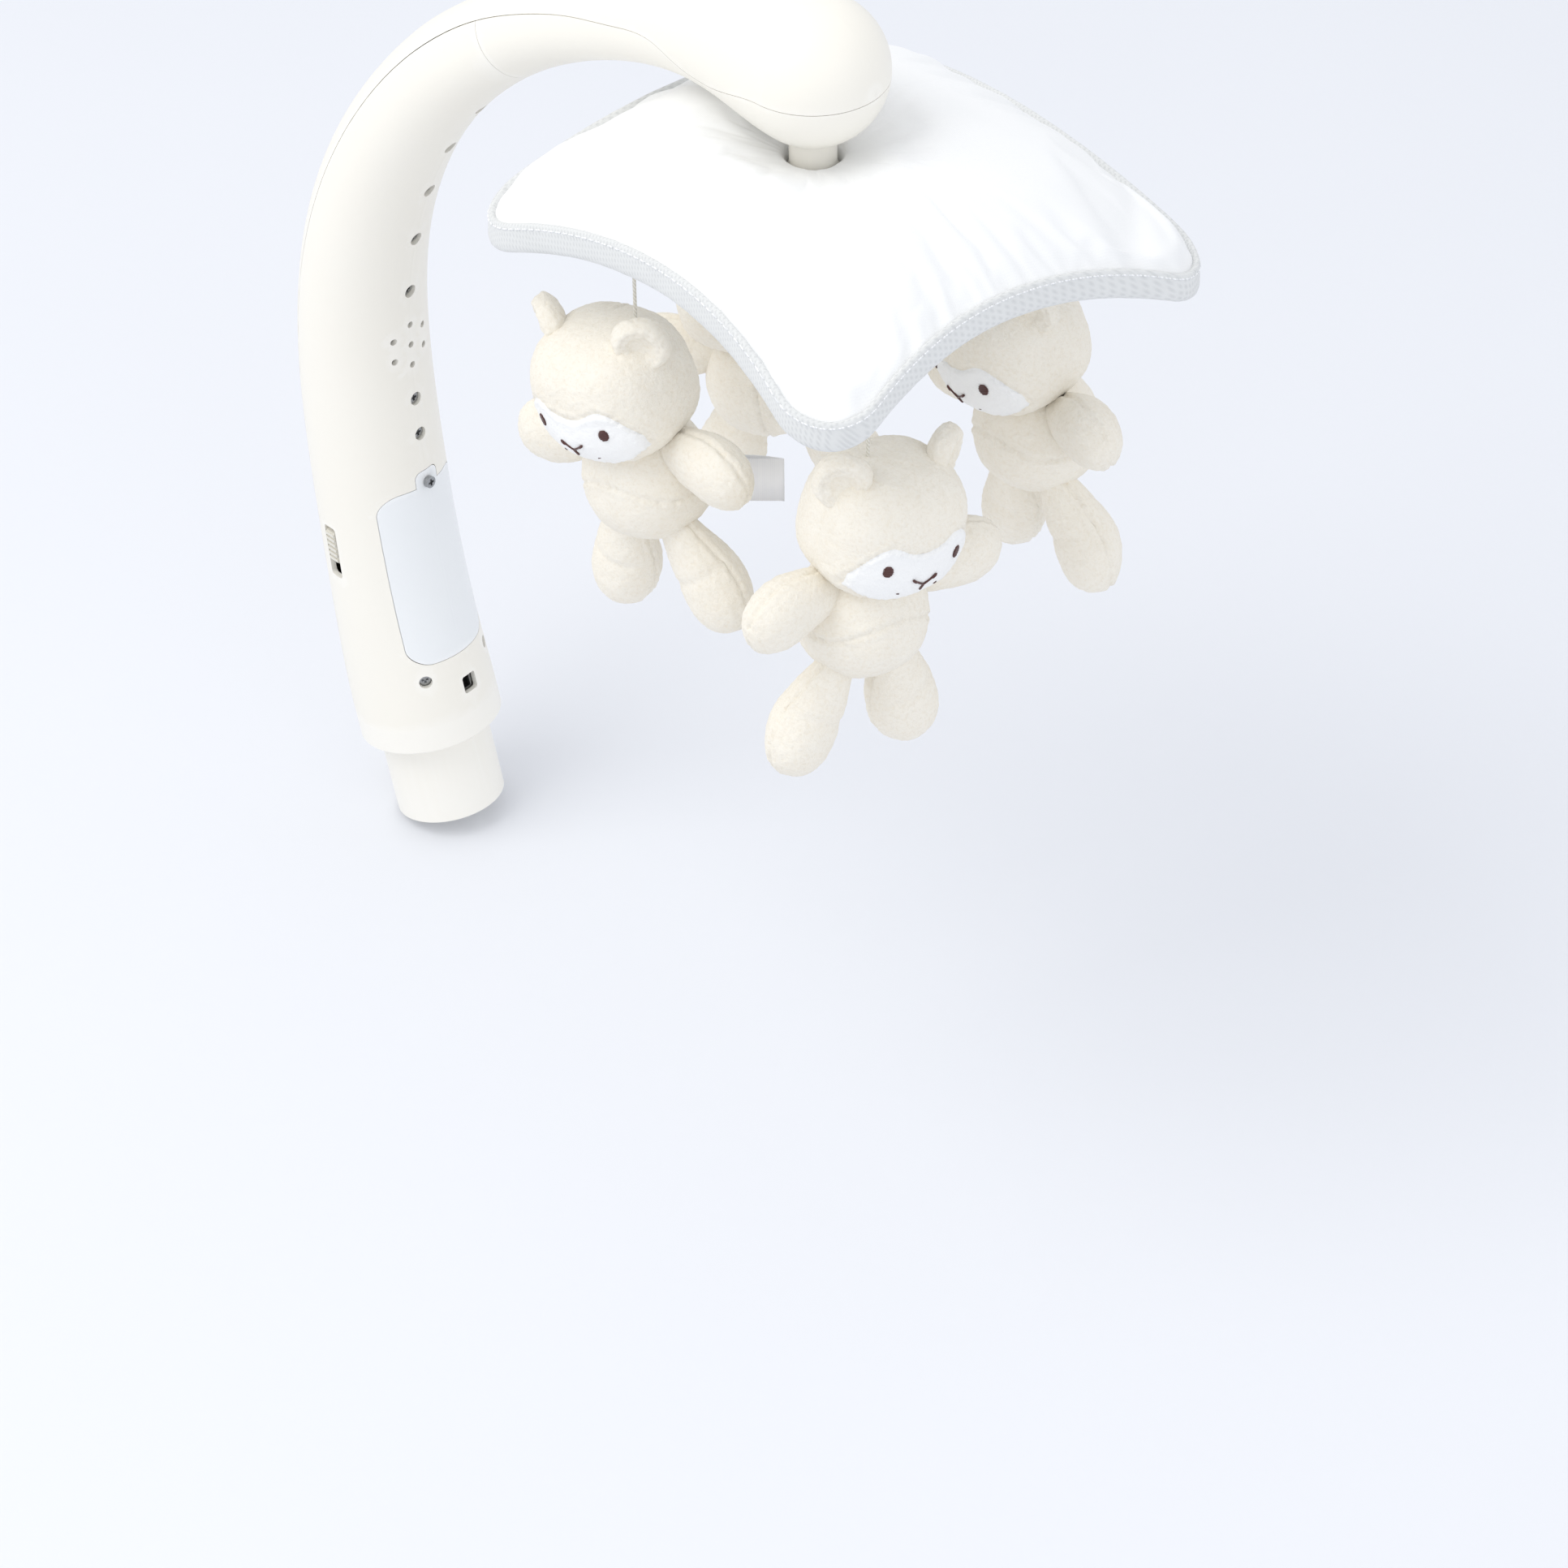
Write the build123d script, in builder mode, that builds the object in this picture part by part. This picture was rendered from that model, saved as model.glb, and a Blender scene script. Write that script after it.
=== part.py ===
from build123d import *
import os
from math import sin, cos, tan, acos, radians, degrees, sqrt, pi

# Crib mobile: a bowed, hollow arm that plugs into a crib rail, a geared motor in its head,
# and a padded star canopy that turns under the head with four plush bears hanging from it.
# Millimetres, +Z up. The origin is on the rail plug's axis, at the collar's lower shoulder,
# and the arm reaches out along +X.

# ---- rail plug and base collar ----
base_lean = 13.0            # the plug leans this far away from the crib, degrees
plug_radius = 24.0
plug_length = 40.0
plug_wall = 3.0
plug_step = 0.5             # the plug is this much slimmer inside the collar
latch_width = 9.0
latch_height = 12.0
latch_depth = 1.6
latch_down = 30.0           # from the shoulder to the latch notch's middle
collar_height = 12.4
flange_thickness = 3.0
flange_margin = 0.9         # the flange stands this far out past the spigot
collar_chamfer = 1.0
spigot_gap = 2.5            # between the spigot and the arm's inside at its foot
spigot_wall = 2.5
spigot_height = 33.0
seat_clearance = 0.15       # between fixed pieces that slip together

# ---- arm ----
lower_bow_radius = 860.0
lower_bow_length = 180.0
upper_bend_radius = 222.0
head_run = 21.0             # straight run from the end of the bend to the head's centre
base_radius = 31.5
waist_radius = 28.7
shoulder_radius = 25.4
bend_radius = 19.6
neck_radius = 17.4
head_radius = 28.9
shell_wall = 2.4
seam_gap = 0.3              # open line between two shells
parting_share = 0.6         # how far behind the arm's middle the shells part, in radii
neck_joint_at = 396.0       # where the front shell ends, along the arm
head_seam_drop = 2.0        # the head's seam lies this far under its middle
spigot_radius = base_radius - shell_wall - spigot_gap       # tube on the plug that the arm slides over
flange_radius = spigot_radius + flange_margin

# ---- openings, screws and inner parts of the arm ----
screw_stations = (144.0, 162.0, 222.0, 254.0, 286.0, 318.0, 352.0)
recess_radius = 3.0
recess_depth = 3.4
boss_wall = 1.8
screw_shank_radius = 1.4
screw_head_radius = 2.6
screw_head_height = 1.8
screw_length = 11.0
thread_clearance = 0.05
post_radius = 3.4
speaker_at = 191.0
speaker_hole_radius = 1.5
speaker_hole_spacing = 10.0
speaker_radius = 13.5
speaker_depth = 9.0
speaker_setback = 18.5      # speaker face, measured from the arm's middle
usb_at = 14.0
usb_width = 7.6
usb_height = 8.2
usb_depth = 9.0
usb_corner = 1.2
usb_wall = 0.7
usb_side_wall = 1.2
usb_back_wall = 1.5
usb_slot_margin = 0.5       # round the socket, where it passes through the spigot
base_screw_at = 23.0
base_screw_tail = 3.0       # of the screw's end past the spigot's wall
base_screw_turn = 37.0      # degrees either side of the arm's inner line
door_from = 32.0
door_to = 117.0
door_width = 45.0
door_corner = 9.0
door_tab_width = 13.0
door_tab_length = 7.0
door_gap = 0.3
door_ledge = 3.0
door_ledge_thickness = 1.3
door_screw_length = 7.0
door_boss_depth = 6.0       # foot of the door screw's boss, under the shell
door_boss_length = 5.0
cell_radius = 7.2
cell_length = 50.0
cell_cap = 1.2              # height of the raised cap on a cell
cell_gap = 0.6
cell_rows = 2               # cells side by side, and again one behind the other
cell_spacing = 2 * cell_radius + cell_gap
tray_wall = 1.4
tray_end_room = 5.0         # springs and plates, both ends together
contact_thickness = 0.4
slider_at = 87.0
slider_turn = 102.0         # degrees round from the arm's inner line, towards -Y
slider_slot_length = 25.0
slider_slot_width = 8.0
slider_travel = 5.0
slider_knob_length = 15.0
slider_knob_width = 6.0
slider_ribs = 6
knob_flange_width = 10.0
knob_flange_margin = 2.0
knob_flange = 1.2
knob_gap = 0.3              # between the knob's flange and the arm's inside
knob_rib_height = 0.8
knob_sink = 0.6             # of the knob's top under the arm's outside
switch_length = 18.0
switch_width = 7.0
switch_height = 2.5
switch_gap = 0.4
board_from = 128.0
board_length = 42.0
board_width = 34.0
board_thickness = 1.6
lead_radius = 1.1

# ---- gearbox in the head ----
gear_module = 0.6
output_teeth = 30
compound_small_teeth = 10
compound_large_teeth = 28
pinion_teeth = 10
gear_backlash = 0.14
pressure_angle = 25.0
output_gear_width = 3.0
compound_gear_width = 2.6
plate_thickness = 2.0
gearbox_floor_drop = 15.8   # underside of the gearbox base, below the head's middle
gearbox_plate_radius = 19.6
gear_gap = 0.5
motor_radius = 8.0
motor_length = 16.0
motor_shaft_radius = 1.0
shaft_radius = 3.0
shaft_clearance = 0.05
axle_radius = 1.25

# ---- canopy ----
hub_radius = 9.0
hub_opening_clearance = 0.8
hub_top_drop = 3.0          # the hub ends this far under the gearbox
hub_flange = 2.0
hub_flange_height = 3.0
hub_cone_top = 6.0
hub_chamfer = 1.0
shaft_seat = 2.0            # the shaft stops this far above the hub's foot
hub_screw_length = 10.0
pad_hole_radius = 12.0
pad_thickness = 10.0
canopy_turn = 216.0         # direction of the first lobe, degrees from +X
canopy_corner = 149.0       # star corner before rounding
canopy_corner_rounding = 22.0
canopy_side = 89.0          # middle of a star side, from the hub's axis
corner_inset = 1.62         # a corner's point moves in this many times as fast as a side
binding_width = 5.0
binding_drop = 12.0
binding_top = 1.0           # the binding starts this far under the pad's top
binding_gap = 0.2
canopy_gap = 2.5            # between the head's underside and the top of the pad
canopy_fall = 41.0          # height from the crown to the lobe tips
canopy_reach = 136.0        # lobe tips, from the pad's centre
canopy_shift_x = 9.0        # the soft pad sits a little off the hub's axis
canopy_shift_y = 7.0
dimple_radius = 35.0        # the pad sinks towards the hub inside this radius
dimple_depth = 4.0
spoke_turn = 234.0          # direction of the first spoke
spoke_width = 9.0
spoke_thickness = 4.0
spoke_overhang = 6.5        # of a spoke past its eyelet
spoke_gap = 0.6             # between the spokes and the pad
frame_disc_radius = 24.0
frame_gap = 0.5             # between the frame's disc and the pad

# ---- bears ----
hang_radii = (69.0, 78.0, 87.0, 78.0)       # where each string hangs, from the hub's axis
string_radius = 0.7
string_gap = 0.3            # between a string's top and its eyelet
string_lengths = (38.0, 56.5, 38.0, 53.0)
bear_facings = (270.0, 345.0, 255.0, 120.0)
bear_leans = (16.0, -10.0, 16.0, 8.0)       # each bear hangs a little askew, degrees
lean_heading = -50.0        # direction of the level line that the bears lean about, degrees from +X
balance_drop = 59.0         # a bear's centre of mass below the top of its head
head_half_width = 30.0
head_half_height = 27.0
torso_radius = 25.0
torso_half_height = 26.0
torso_drop = 70.0           # torso centre below the head's top
arm_radius = 13.5
arm_half_length = 28.0
arm_drop = 58.0
arm_out = 31.0
arm_tilts = ((8, 8), (-14, 8), (-10, 8), (8, 8))      # of each bear's left and right arm, below level
leg_radius = 14.0
leg_half_length = 29.0
leg_drop = 107.0
leg_out = 20.0
leg_splay = 22.0
leg_forward = 7.0
ear_radius = 10.5
ear_half_thickness = 4.0
ear_turn = 35.0             # the ears face this far out to the sides
ear_out = 24.0
ear_drop = 4.0
eyelet_radius = 3.4
eyelet_hole_radius = 1.7
eyelet_thickness = 3.0
label_turn = 36.0           # direction of the care label, degrees from +X
label_length = 25.0
label_width = 20.0
label_thickness = 0.6
label_below = 4.0           # under the torso's middle
label_gap = 1.0

os.makedirs("parts", exist_ok=True)


def save(piece, name):
    piece.part.label = name
    export_step(piece.part, f"parts/{name}.step")
    print(name, "solids", len(piece.part.solids()), "volume", round(piece.part.volume, 1))


# ---------------------------------------------------------------- arm line
lean = radians(base_lean)
plug_axis = Vector(sin(lean), 0, -cos(lean))       # out of the arm, into the rail
arm_start = -collar_height * plug_axis
bow_turn = degrees(lower_bow_length / lower_bow_radius)
bend_turn = 90 + base_lean - bow_turn

with BuildLine(Plane.XZ) as arm_line:
    bow = JernArc((arm_start.X, arm_start.Z), (-sin(lean), cos(lean)), lower_bow_radius, -bow_turn)
    bend = JernArc(bow @ 1, bow % 1, upper_bend_radius, -bend_turn)
    Line(bend @ 1, (bend @ 1) + head_run * (bend % 1))
arm_wire = arm_line.wires()[0]
arm_length = arm_wire.length
head_centre = arm_wire @ 1

# the arm's outer radius at shares of its length
arm_profile = (
    (0.0, base_radius),
    (0.11, 0.35 * base_radius + 0.65 * waist_radius),
    (0.22, waist_radius),
    (0.33, 0.65 * waist_radius + 0.35 * shoulder_radius),
    (0.435, shoulder_radius),
    (0.545, 0.48 * shoulder_radius + 0.52 * bend_radius),
    (0.65, bend_radius),
    (0.755, neck_radius + 0.2),
    (0.85, neck_radius),
    (0.905, 0.8 * neck_radius + 0.2 * head_radius),
    (0.94, 0.5 * (neck_radius + head_radius)),
    (0.975, 0.15 * neck_radius + 0.85 * head_radius),
    (1.0, head_radius),
)


def arm_plane(distance):
    """Section plane of the arm: local x points to the crib side, local y to +Y."""
    here = arm_wire.position_at(distance, position_mode=PositionMode.LENGTH)
    along = arm_wire.tangent_at(distance, position_mode=PositionMode.LENGTH)
    return Plane(origin=here, x_dir=(along.Z, 0, -along.X), z_dir=along)


def arm_radius_at(distance):
    share = distance / arm_length
    for (share_a, radius_a), (share_b, radius_b) in zip(arm_profile, arm_profile[1:]):
        if share <= share_b:
            return radius_a + (radius_b - radius_a) * (share - share_a) / (share_b - share_a)
    return head_radius


def arm_body(inset):
    """The arm's full shape, drawn in by inset."""
    with BuildPart() as body:
        for share, radius in arm_profile:
            with BuildSketch(arm_plane(share * arm_length)):
                Circle(radius - inset)
        loft()
        with BuildSketch(Plane.XZ):
            with Locations((head_centre.X, head_centre.Z)):
                Circle(head_radius - inset)
                Rectangle(2 * head_radius, 2 * head_radius, align=(Align.MAX, Align.CENTER),
                          mode=Mode.SUBTRACT)
            with Locations((head_centre.X, head_centre.Z)):
                Rectangle(2 * head_radius, 2 * head_radius, align=(Align.CENTER, Align.MAX),
                          mode=Mode.SUBTRACT)
        revolve(axis=Axis(head_centre, (1, 0, 0)))
    return body.part


# where the shells part: share of the arm's length, offset outwards in radii
parting_line = (
    (0.0, parting_share),
    (0.18, parting_share),
    (0.36, parting_share),
    (0.54, parting_share),
    (0.715, parting_share),
    (0.775, 0.78 * parting_share),
    (0.81, 0.6 * parting_share),
    (0.85, 0.33 * parting_share),
    (0.89, 0.0),
    (0.916, -0.4),
    (0.942, -0.4),
    (0.968, -0.2),
    (1.0, -head_seam_drop / head_radius),
)
far_out = 90.0              # reaches past everything when a region is cut


def region_behind(shift):
    """All that lies behind the parting line, moved outwards by shift."""
    points = []
    for share, offset in parting_line:
        section = arm_plane(share * arm_length)
        out = offset * arm_radius_at(share * arm_length) + shift
        point = section.origin - out * section.x_dir
        points.append((point.X, point.Z))
    first_x, first_z = points[0]
    last_x, last_z = points[-1]
    below = (first_x + far_out * plug_axis.X, first_z + far_out * plug_axis.Z)
    end = (last_x + far_out, last_z)
    top = last_z + far_out
    with BuildPart() as region:
        with BuildSketch(Plane.XZ):
            with BuildLine():
                Line(below, points[0])
                Spline(*points)
                Polyline(points[-1], end, (last_x + far_out, top), (-2 * far_out, top),
                         (-2 * far_out, below[1]), below)
            make_face()
        extrude(amount=far_out, both=True)
    return region.part


def beyond_neck_joint(shift):
    with BuildPart(arm_plane(neck_joint_at + shift)) as region:
        Box(5 * far_out, 2 * far_out, 5 * far_out, align=(Align.CENTER, Align.CENTER, Align.MIN))
    return region.part


outer_body = arm_body(0)
inner_body = arm_body(shell_wall)
skin = outer_body - inner_body
behind = region_behind(0)
behind_with_gap = region_behind(-seam_gap)


def radial_plane(distance, turn, height=0):
    """Plane square to the arm's side: z points out, turned from the inner line towards -Y."""
    section = arm_plane(distance)
    angle = radians(turn)
    out = cos(angle) * section.x_dir - sin(angle) * section.y_dir
    return Plane(origin=section.origin + height * out, x_dir=section.z_dir, z_dir=out)


def screw(seat_plane, length):
    """A pan head screw whose head sits on the plane and whose shank runs down from it."""
    with BuildPart(seat_plane) as fastener:
        Cylinder(screw_head_radius, screw_head_height, align=(Align.CENTER, Align.CENTER, Align.MIN))
        Cylinder(screw_shank_radius, length, align=(Align.CENTER, Align.CENTER, Align.MAX))
        with BuildSketch(seat_plane.offset(screw_head_height)):
            Rectangle(0.4 * screw_head_radius, 1.2 * screw_head_radius)
            Rectangle(1.2 * screw_head_radius, 0.4 * screw_head_radius)
        extrude(amount=-0.6 * screw_head_height, mode=Mode.SUBTRACT)
    return fastener.part


# ---------------------------------------------------------------- rail plug
shoulder = Plane(origin=(0, 0, 0), x_dir=(cos(lean), 0, sin(lean)), z_dir=-plug_axis)

with BuildPart(shoulder) as rail_plug:
    Cylinder(plug_radius, plug_length, align=(Align.CENTER, Align.CENTER, Align.MAX))
    Cylinder(plug_radius - plug_step, collar_height, align=(Align.CENTER, Align.CENTER, Align.MIN))
    with Locations((0, 0, collar_height)):
        Cylinder(flange_radius, flange_thickness, align=(Align.CENTER, Align.CENTER, Align.MAX))
        Cylinder(spigot_radius, spigot_height, align=(Align.CENTER, Align.CENTER, Align.MIN))
    with Locations((0, 0, plug_wall - plug_length)):
        Cylinder(plug_radius - plug_wall, plug_length + collar_height - flange_thickness,
                 align=(Align.CENTER, Align.CENTER, Align.MIN), mode=Mode.SUBTRACT)
    with Locations((0, 0, collar_height)):
        Cylinder(spigot_radius - spigot_wall, spigot_height, align=(Align.CENTER, Align.CENTER, Align.MIN),
                 mode=Mode.SUBTRACT)
    with Locations((-plug_radius, 0, -latch_down)):
        Box(2 * latch_depth, latch_width, latch_height, mode=Mode.SUBTRACT)
    with Locations((spigot_radius, 0, collar_height + usb_at)):
        Box(2 * usb_depth, usb_width + 2 * usb_slot_margin, usb_height + 2 * usb_slot_margin,
            mode=Mode.SUBTRACT)
    for turn in (base_screw_turn, -base_screw_turn):
        with BuildSketch(radial_plane(base_screw_at, turn)):
            Circle(screw_shank_radius + thread_clearance)
        extrude(amount=base_radius, mode=Mode.SUBTRACT)
save(rail_plug, "rail_plug")

with BuildPart(shoulder) as base_collar:
    Cylinder(base_radius, collar_height, align=(Align.CENTER, Align.CENTER, Align.MIN))
    chamfer(base_collar.edges().group_by(Axis.Z)[0], collar_chamfer)
    Cylinder(plug_radius - plug_step + seat_clearance, collar_height,
             align=(Align.CENTER, Align.CENTER, Align.MIN), mode=Mode.SUBTRACT)
    with Locations((0, 0, collar_height)):
        Cylinder(flange_radius + seat_clearance, flange_thickness,
                 align=(Align.CENTER, Align.CENTER, Align.MAX), mode=Mode.SUBTRACT)
save(base_collar, "base_collar")


# ---------------------------------------------------------------- arm shells
def door_block(grow, depth_from):
    """The battery door's outline, grown by grow, as a block that runs out of the arm."""
    middle = 0.5 * (door_from + door_to)
    length = door_to - door_from
    with BuildPart() as block:
        with BuildSketch(radial_plane(middle, 0, depth_from)):
            RectangleRounded(length + 2 * grow, door_width + 2 * grow, door_corner + grow)
            with Locations((0.5 * length, 0)):
                RectangleRounded(2 * (door_tab_length + grow), door_tab_width + 2 * grow,
                                 0.25 * door_tab_width + 0.5 * grow)
        extrude(amount=2 * base_radius)
    return block.part


def recess_seat(distance):
    return radial_plane(distance, 0, arm_radius_at(distance) - recess_depth)


door_screw_at = door_to + 0.35 * door_tab_length
boss_floor = recess_depth + 2.0

under_door = arm_body(shell_wall + seat_clearance)
under_rim = arm_body(shell_wall + seat_clearance + door_ledge_thickness)
door_hole = door_block(0, 0) - under_door

with BuildPart() as door_rim_part:
    add(arm_body(0.5 * shell_wall) - under_rim)
    add(door_block(door_ledge, 0.3 * base_radius), mode=Mode.INTERSECT)
    add(door_block(-door_ledge, 0), mode=Mode.SUBTRACT)
    with BuildSketch(radial_plane(door_screw_at, 0, waist_radius - shell_wall - door_boss_depth)):
        Circle(screw_shank_radius + boss_wall)
    extrude(amount=door_boss_length)
door_rim = door_rim_part.part

with BuildPart() as arm_back_shell:
    add(skin)
    add(behind, mode=Mode.INTERSECT)
    for station in screw_stations:
        top = arm_radius_at(station) - boss_floor
        with BuildSketch(radial_plane(station, 180, -top)):
            Circle(post_radius)
            Circle(screw_shank_radius + thread_clearance, mode=Mode.SUBTRACT)
        extrude(amount=top + arm_radius_at(station) - 0.6 * shell_wall)
save(arm_back_shell, "arm_back_shell")

with BuildPart() as arm_front_shell:
    add(skin)
    add(behind_with_gap, mode=Mode.SUBTRACT)
    add(beyond_neck_joint(-0.5 * seam_gap), mode=Mode.SUBTRACT)
    for station in screw_stations:
        outside = arm_radius_at(station)
        with BuildSketch(radial_plane(station, 0, outside - boss_floor)):
            Circle(recess_radius + boss_wall)
        extrude(amount=boss_floor - 0.6 * shell_wall)
        with BuildSketch(recess_seat(station)):
            Circle(recess_radius)
        extrude(amount=2 * recess_depth, mode=Mode.SUBTRACT)
        with BuildSketch(recess_seat(station)):
            Circle(screw_shank_radius + seat_clearance)
        extrude(amount=-recess_depth, mode=Mode.SUBTRACT)
    with BuildSketch(radial_plane(speaker_at, 0)):
        Circle(speaker_hole_radius)
        with PolarLocations(speaker_hole_spacing, 6):
            Circle(speaker_hole_radius)
    extrude(amount=base_radius, mode=Mode.SUBTRACT)
    with BuildSketch(radial_plane(usb_at, 0)):
        RectangleRounded(usb_height, usb_width, usb_corner)
    extrude(amount=2 * base_radius, mode=Mode.SUBTRACT)
    for turn in (base_screw_turn, -base_screw_turn):
        with BuildSketch(radial_plane(base_screw_at, turn)):
            Circle(screw_head_radius + 2 * seat_clearance)
        extrude(amount=2 * base_radius, mode=Mode.SUBTRACT)
    add(door_rim)
    add(door_hole, mode=Mode.SUBTRACT)
    with BuildSketch(radial_plane(door_screw_at, 0)):
        Circle(screw_shank_radius + thread_clearance)
    extrude(amount=2 * base_radius, mode=Mode.SUBTRACT)
    with BuildSketch(radial_plane(slider_at, slider_turn)):
        RectangleRounded(slider_slot_length, slider_slot_width, 1.5)
    extrude(amount=2 * base_radius, mode=Mode.SUBTRACT)
save(arm_front_shell, "arm_front_shell")

hub_hole_radius = hub_radius + hub_opening_clearance
gearbox_floor = head_centre.Z - gearbox_floor_drop
pillar_turns = (0, 100, 260)
pillar_radius = 2.2
pillar_ring = 16.5
pillar_places = [(head_centre.X + pillar_ring * cos(radians(turn)), pillar_ring * sin(radians(turn)))
                 for turn in pillar_turns]
inner_head_radius = head_radius - shell_wall
pillar_drop = sqrt(inner_head_radius**2 - pillar_ring**2) - gearbox_floor_drop + 0.3 * shell_wall

with BuildPart() as neck_bottom_shell:
    add(skin)
    add(behind_with_gap, mode=Mode.SUBTRACT)
    add(beyond_neck_joint(0.5 * seam_gap), mode=Mode.INTERSECT)
    with BuildSketch(Plane.XY.offset(gearbox_floor)):
        with Locations(*pillar_places):
            Circle(pillar_radius)
    extrude(amount=-pillar_drop)
    with BuildSketch(Plane.XY.offset(gearbox_floor - 40)):
        with Locations((head_centre.X, 0)):
            Circle(hub_hole_radius)
    extrude(amount=39, mode=Mode.SUBTRACT)
save(neck_bottom_shell, "neck_bottom_shell")

with BuildPart() as shell_screws:
    for station in screw_stations:
        add(screw(recess_seat(station), screw_length))
save(shell_screws, "shell_screws")

with BuildPart() as base_screws:
    for turn in (base_screw_turn, -base_screw_turn):
        add(screw(radial_plane(base_screw_at, turn, spigot_radius), spigot_wall + base_screw_tail))
save(base_screws, "base_screws")

# ---------------------------------------------------------------- battery bay
with BuildPart() as battery_door:
    add(skin)
    add(door_block(-door_gap, 0.3 * base_radius), mode=Mode.INTERSECT)
    with BuildSketch(radial_plane(door_screw_at, 0)):
        Circle(screw_shank_radius + seat_clearance)
    extrude(amount=2 * base_radius, mode=Mode.SUBTRACT)
save(battery_door, "battery_door")

door_outside = arm_radius_at(door_screw_at)
with BuildPart() as door_screw:
    add(screw(radial_plane(door_screw_at, 0, door_outside + 2 * seat_clearance), door_screw_length))
save(door_screw, "door_screw")

bay_middle = door_from + 0.5 * (door_to - door_from)
cell_pack_width = (cell_rows - 1) * cell_spacing + 2 * cell_radius + 2 * seat_clearance
tray_length = cell_length + tray_end_room
tray_width = cell_pack_width + 2 * tray_wall
tray_floor = -0.5 * cell_pack_width - tray_wall
tray_height = 0.8 * tray_width
tray_plane = radial_plane(bay_middle, 0)

with BuildPart(tray_plane) as battery_tray:
    with Locations((0, 0, tray_floor)):
        Box(tray_length + 2 * tray_wall, tray_width, tray_height,
            align=(Align.CENTER, Align.CENTER, Align.MIN))
    with Locations((0, 0, tray_floor + tray_wall)):
        Box(tray_length, cell_pack_width, tray_height, align=(Align.CENTER, Align.CENTER, Align.MIN),
            mode=Mode.SUBTRACT)
save(battery_tray, "battery_tray")

cell_axis_plane = Plane(origin=tray_plane.origin, x_dir=tray_plane.y_dir, z_dir=tray_plane.x_dir)
with BuildPart() as battery_cells:
    with BuildSketch(cell_axis_plane.offset(-0.5 * cell_length)):
        with GridLocations(cell_spacing, cell_spacing, cell_rows, cell_rows):
            Circle(cell_radius)
    extrude(amount=cell_length - cell_cap)
    with BuildSketch(cell_axis_plane.offset(0.5 * cell_length - cell_cap)):
        with GridLocations(cell_spacing, cell_spacing, cell_rows, cell_rows):
            Circle(0.4 * cell_radius)
    extrude(amount=cell_cap)
save(battery_cells, "battery_cells")

spring_length = 0.5 * (tray_length - cell_length) - contact_thickness
with BuildPart() as battery_contacts:
    for end in (-0.5 * tray_length, 0.5 * tray_length - contact_thickness):
        with BuildSketch(cell_axis_plane.offset(end)):
            with GridLocations(cell_spacing, cell_spacing, cell_rows, 1):
                Rectangle(cell_radius, cell_spacing + cell_radius)
        extrude(amount=contact_thickness)
    with BuildSketch(cell_axis_plane.offset(contact_thickness - 0.5 * tray_length)):
        with GridLocations(cell_spacing, cell_spacing, cell_rows, cell_rows):
            Circle(0.45 * cell_radius)
            Circle(0.3 * cell_radius, mode=Mode.SUBTRACT)
    extrude(amount=spring_length)
save(battery_contacts, "battery_contacts")

# ---------------------------------------------------------------- board, socket, speaker, switch
board_middle = board_from + 0.5 * board_length
board_plane = radial_plane(board_middle, 0, -6)
with BuildPart(board_plane) as circuit_board:
    Box(board_length, board_width, board_thickness)
    for station in screw_stations:
        if abs(station - board_middle) < 0.5 * board_length + post_radius:
            with Locations((station - board_middle, 0)):
                Hole(post_radius + 1.0)
save(circuit_board, "circuit_board")

chip_rows = ((-13, 11, 9, 6, 2.2), (0, -11, 12, 8, 1.8), (14, 11, 8, 8, 3.0), (-14, -11, 6, 6, 6.5))
with BuildPart(board_plane) as board_components:
    for along, side, length, width, height in chip_rows:
        with Locations((along, side, 0.5 * board_thickness)):
            Box(length, width, height, align=(Align.CENTER, Align.CENTER, Align.MIN))
save(board_components, "board_components")

inner_at_usb = arm_radius_at(usb_at) - shell_wall
usb_mouth = sqrt(inner_at_usb**2 - (0.5 * usb_width)**2) - seat_clearance
with BuildPart(radial_plane(usb_at, 0, usb_mouth)) as usb_socket:
    Box(usb_height, usb_width, usb_depth, align=(Align.CENTER, Align.CENTER, Align.MAX))
    Box(usb_height - 2 * usb_wall, usb_width - 2 * usb_side_wall, usb_depth - usb_back_wall,
        align=(Align.CENTER, Align.CENTER, Align.MAX), mode=Mode.SUBTRACT)
    with Locations((0, 0, usb_back_wall - usb_depth)):
        Box(0.6 * usb_height, usb_side_wall, 0.6 * usb_depth, align=(Align.CENTER, Align.CENTER, Align.MIN))
save(usb_socket, "usb_socket")

with BuildPart(radial_plane(speaker_at, 0, speaker_setback)) as speaker:
    Cylinder(speaker_radius, 0.3 * speaker_depth, align=(Align.CENTER, Align.CENTER, Align.MAX))
    Cone(0.35 * speaker_radius, 0.85 * speaker_radius, 0.2 * speaker_depth,
         align=(Align.CENTER, Align.CENTER, Align.MAX), mode=Mode.SUBTRACT)
    with Locations((0, 0, -0.3 * speaker_depth)):
        Cylinder(0.6 * speaker_radius, 0.7 * speaker_depth, align=(Align.CENTER, Align.CENTER, Align.MAX))
save(speaker, "speaker")

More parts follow.
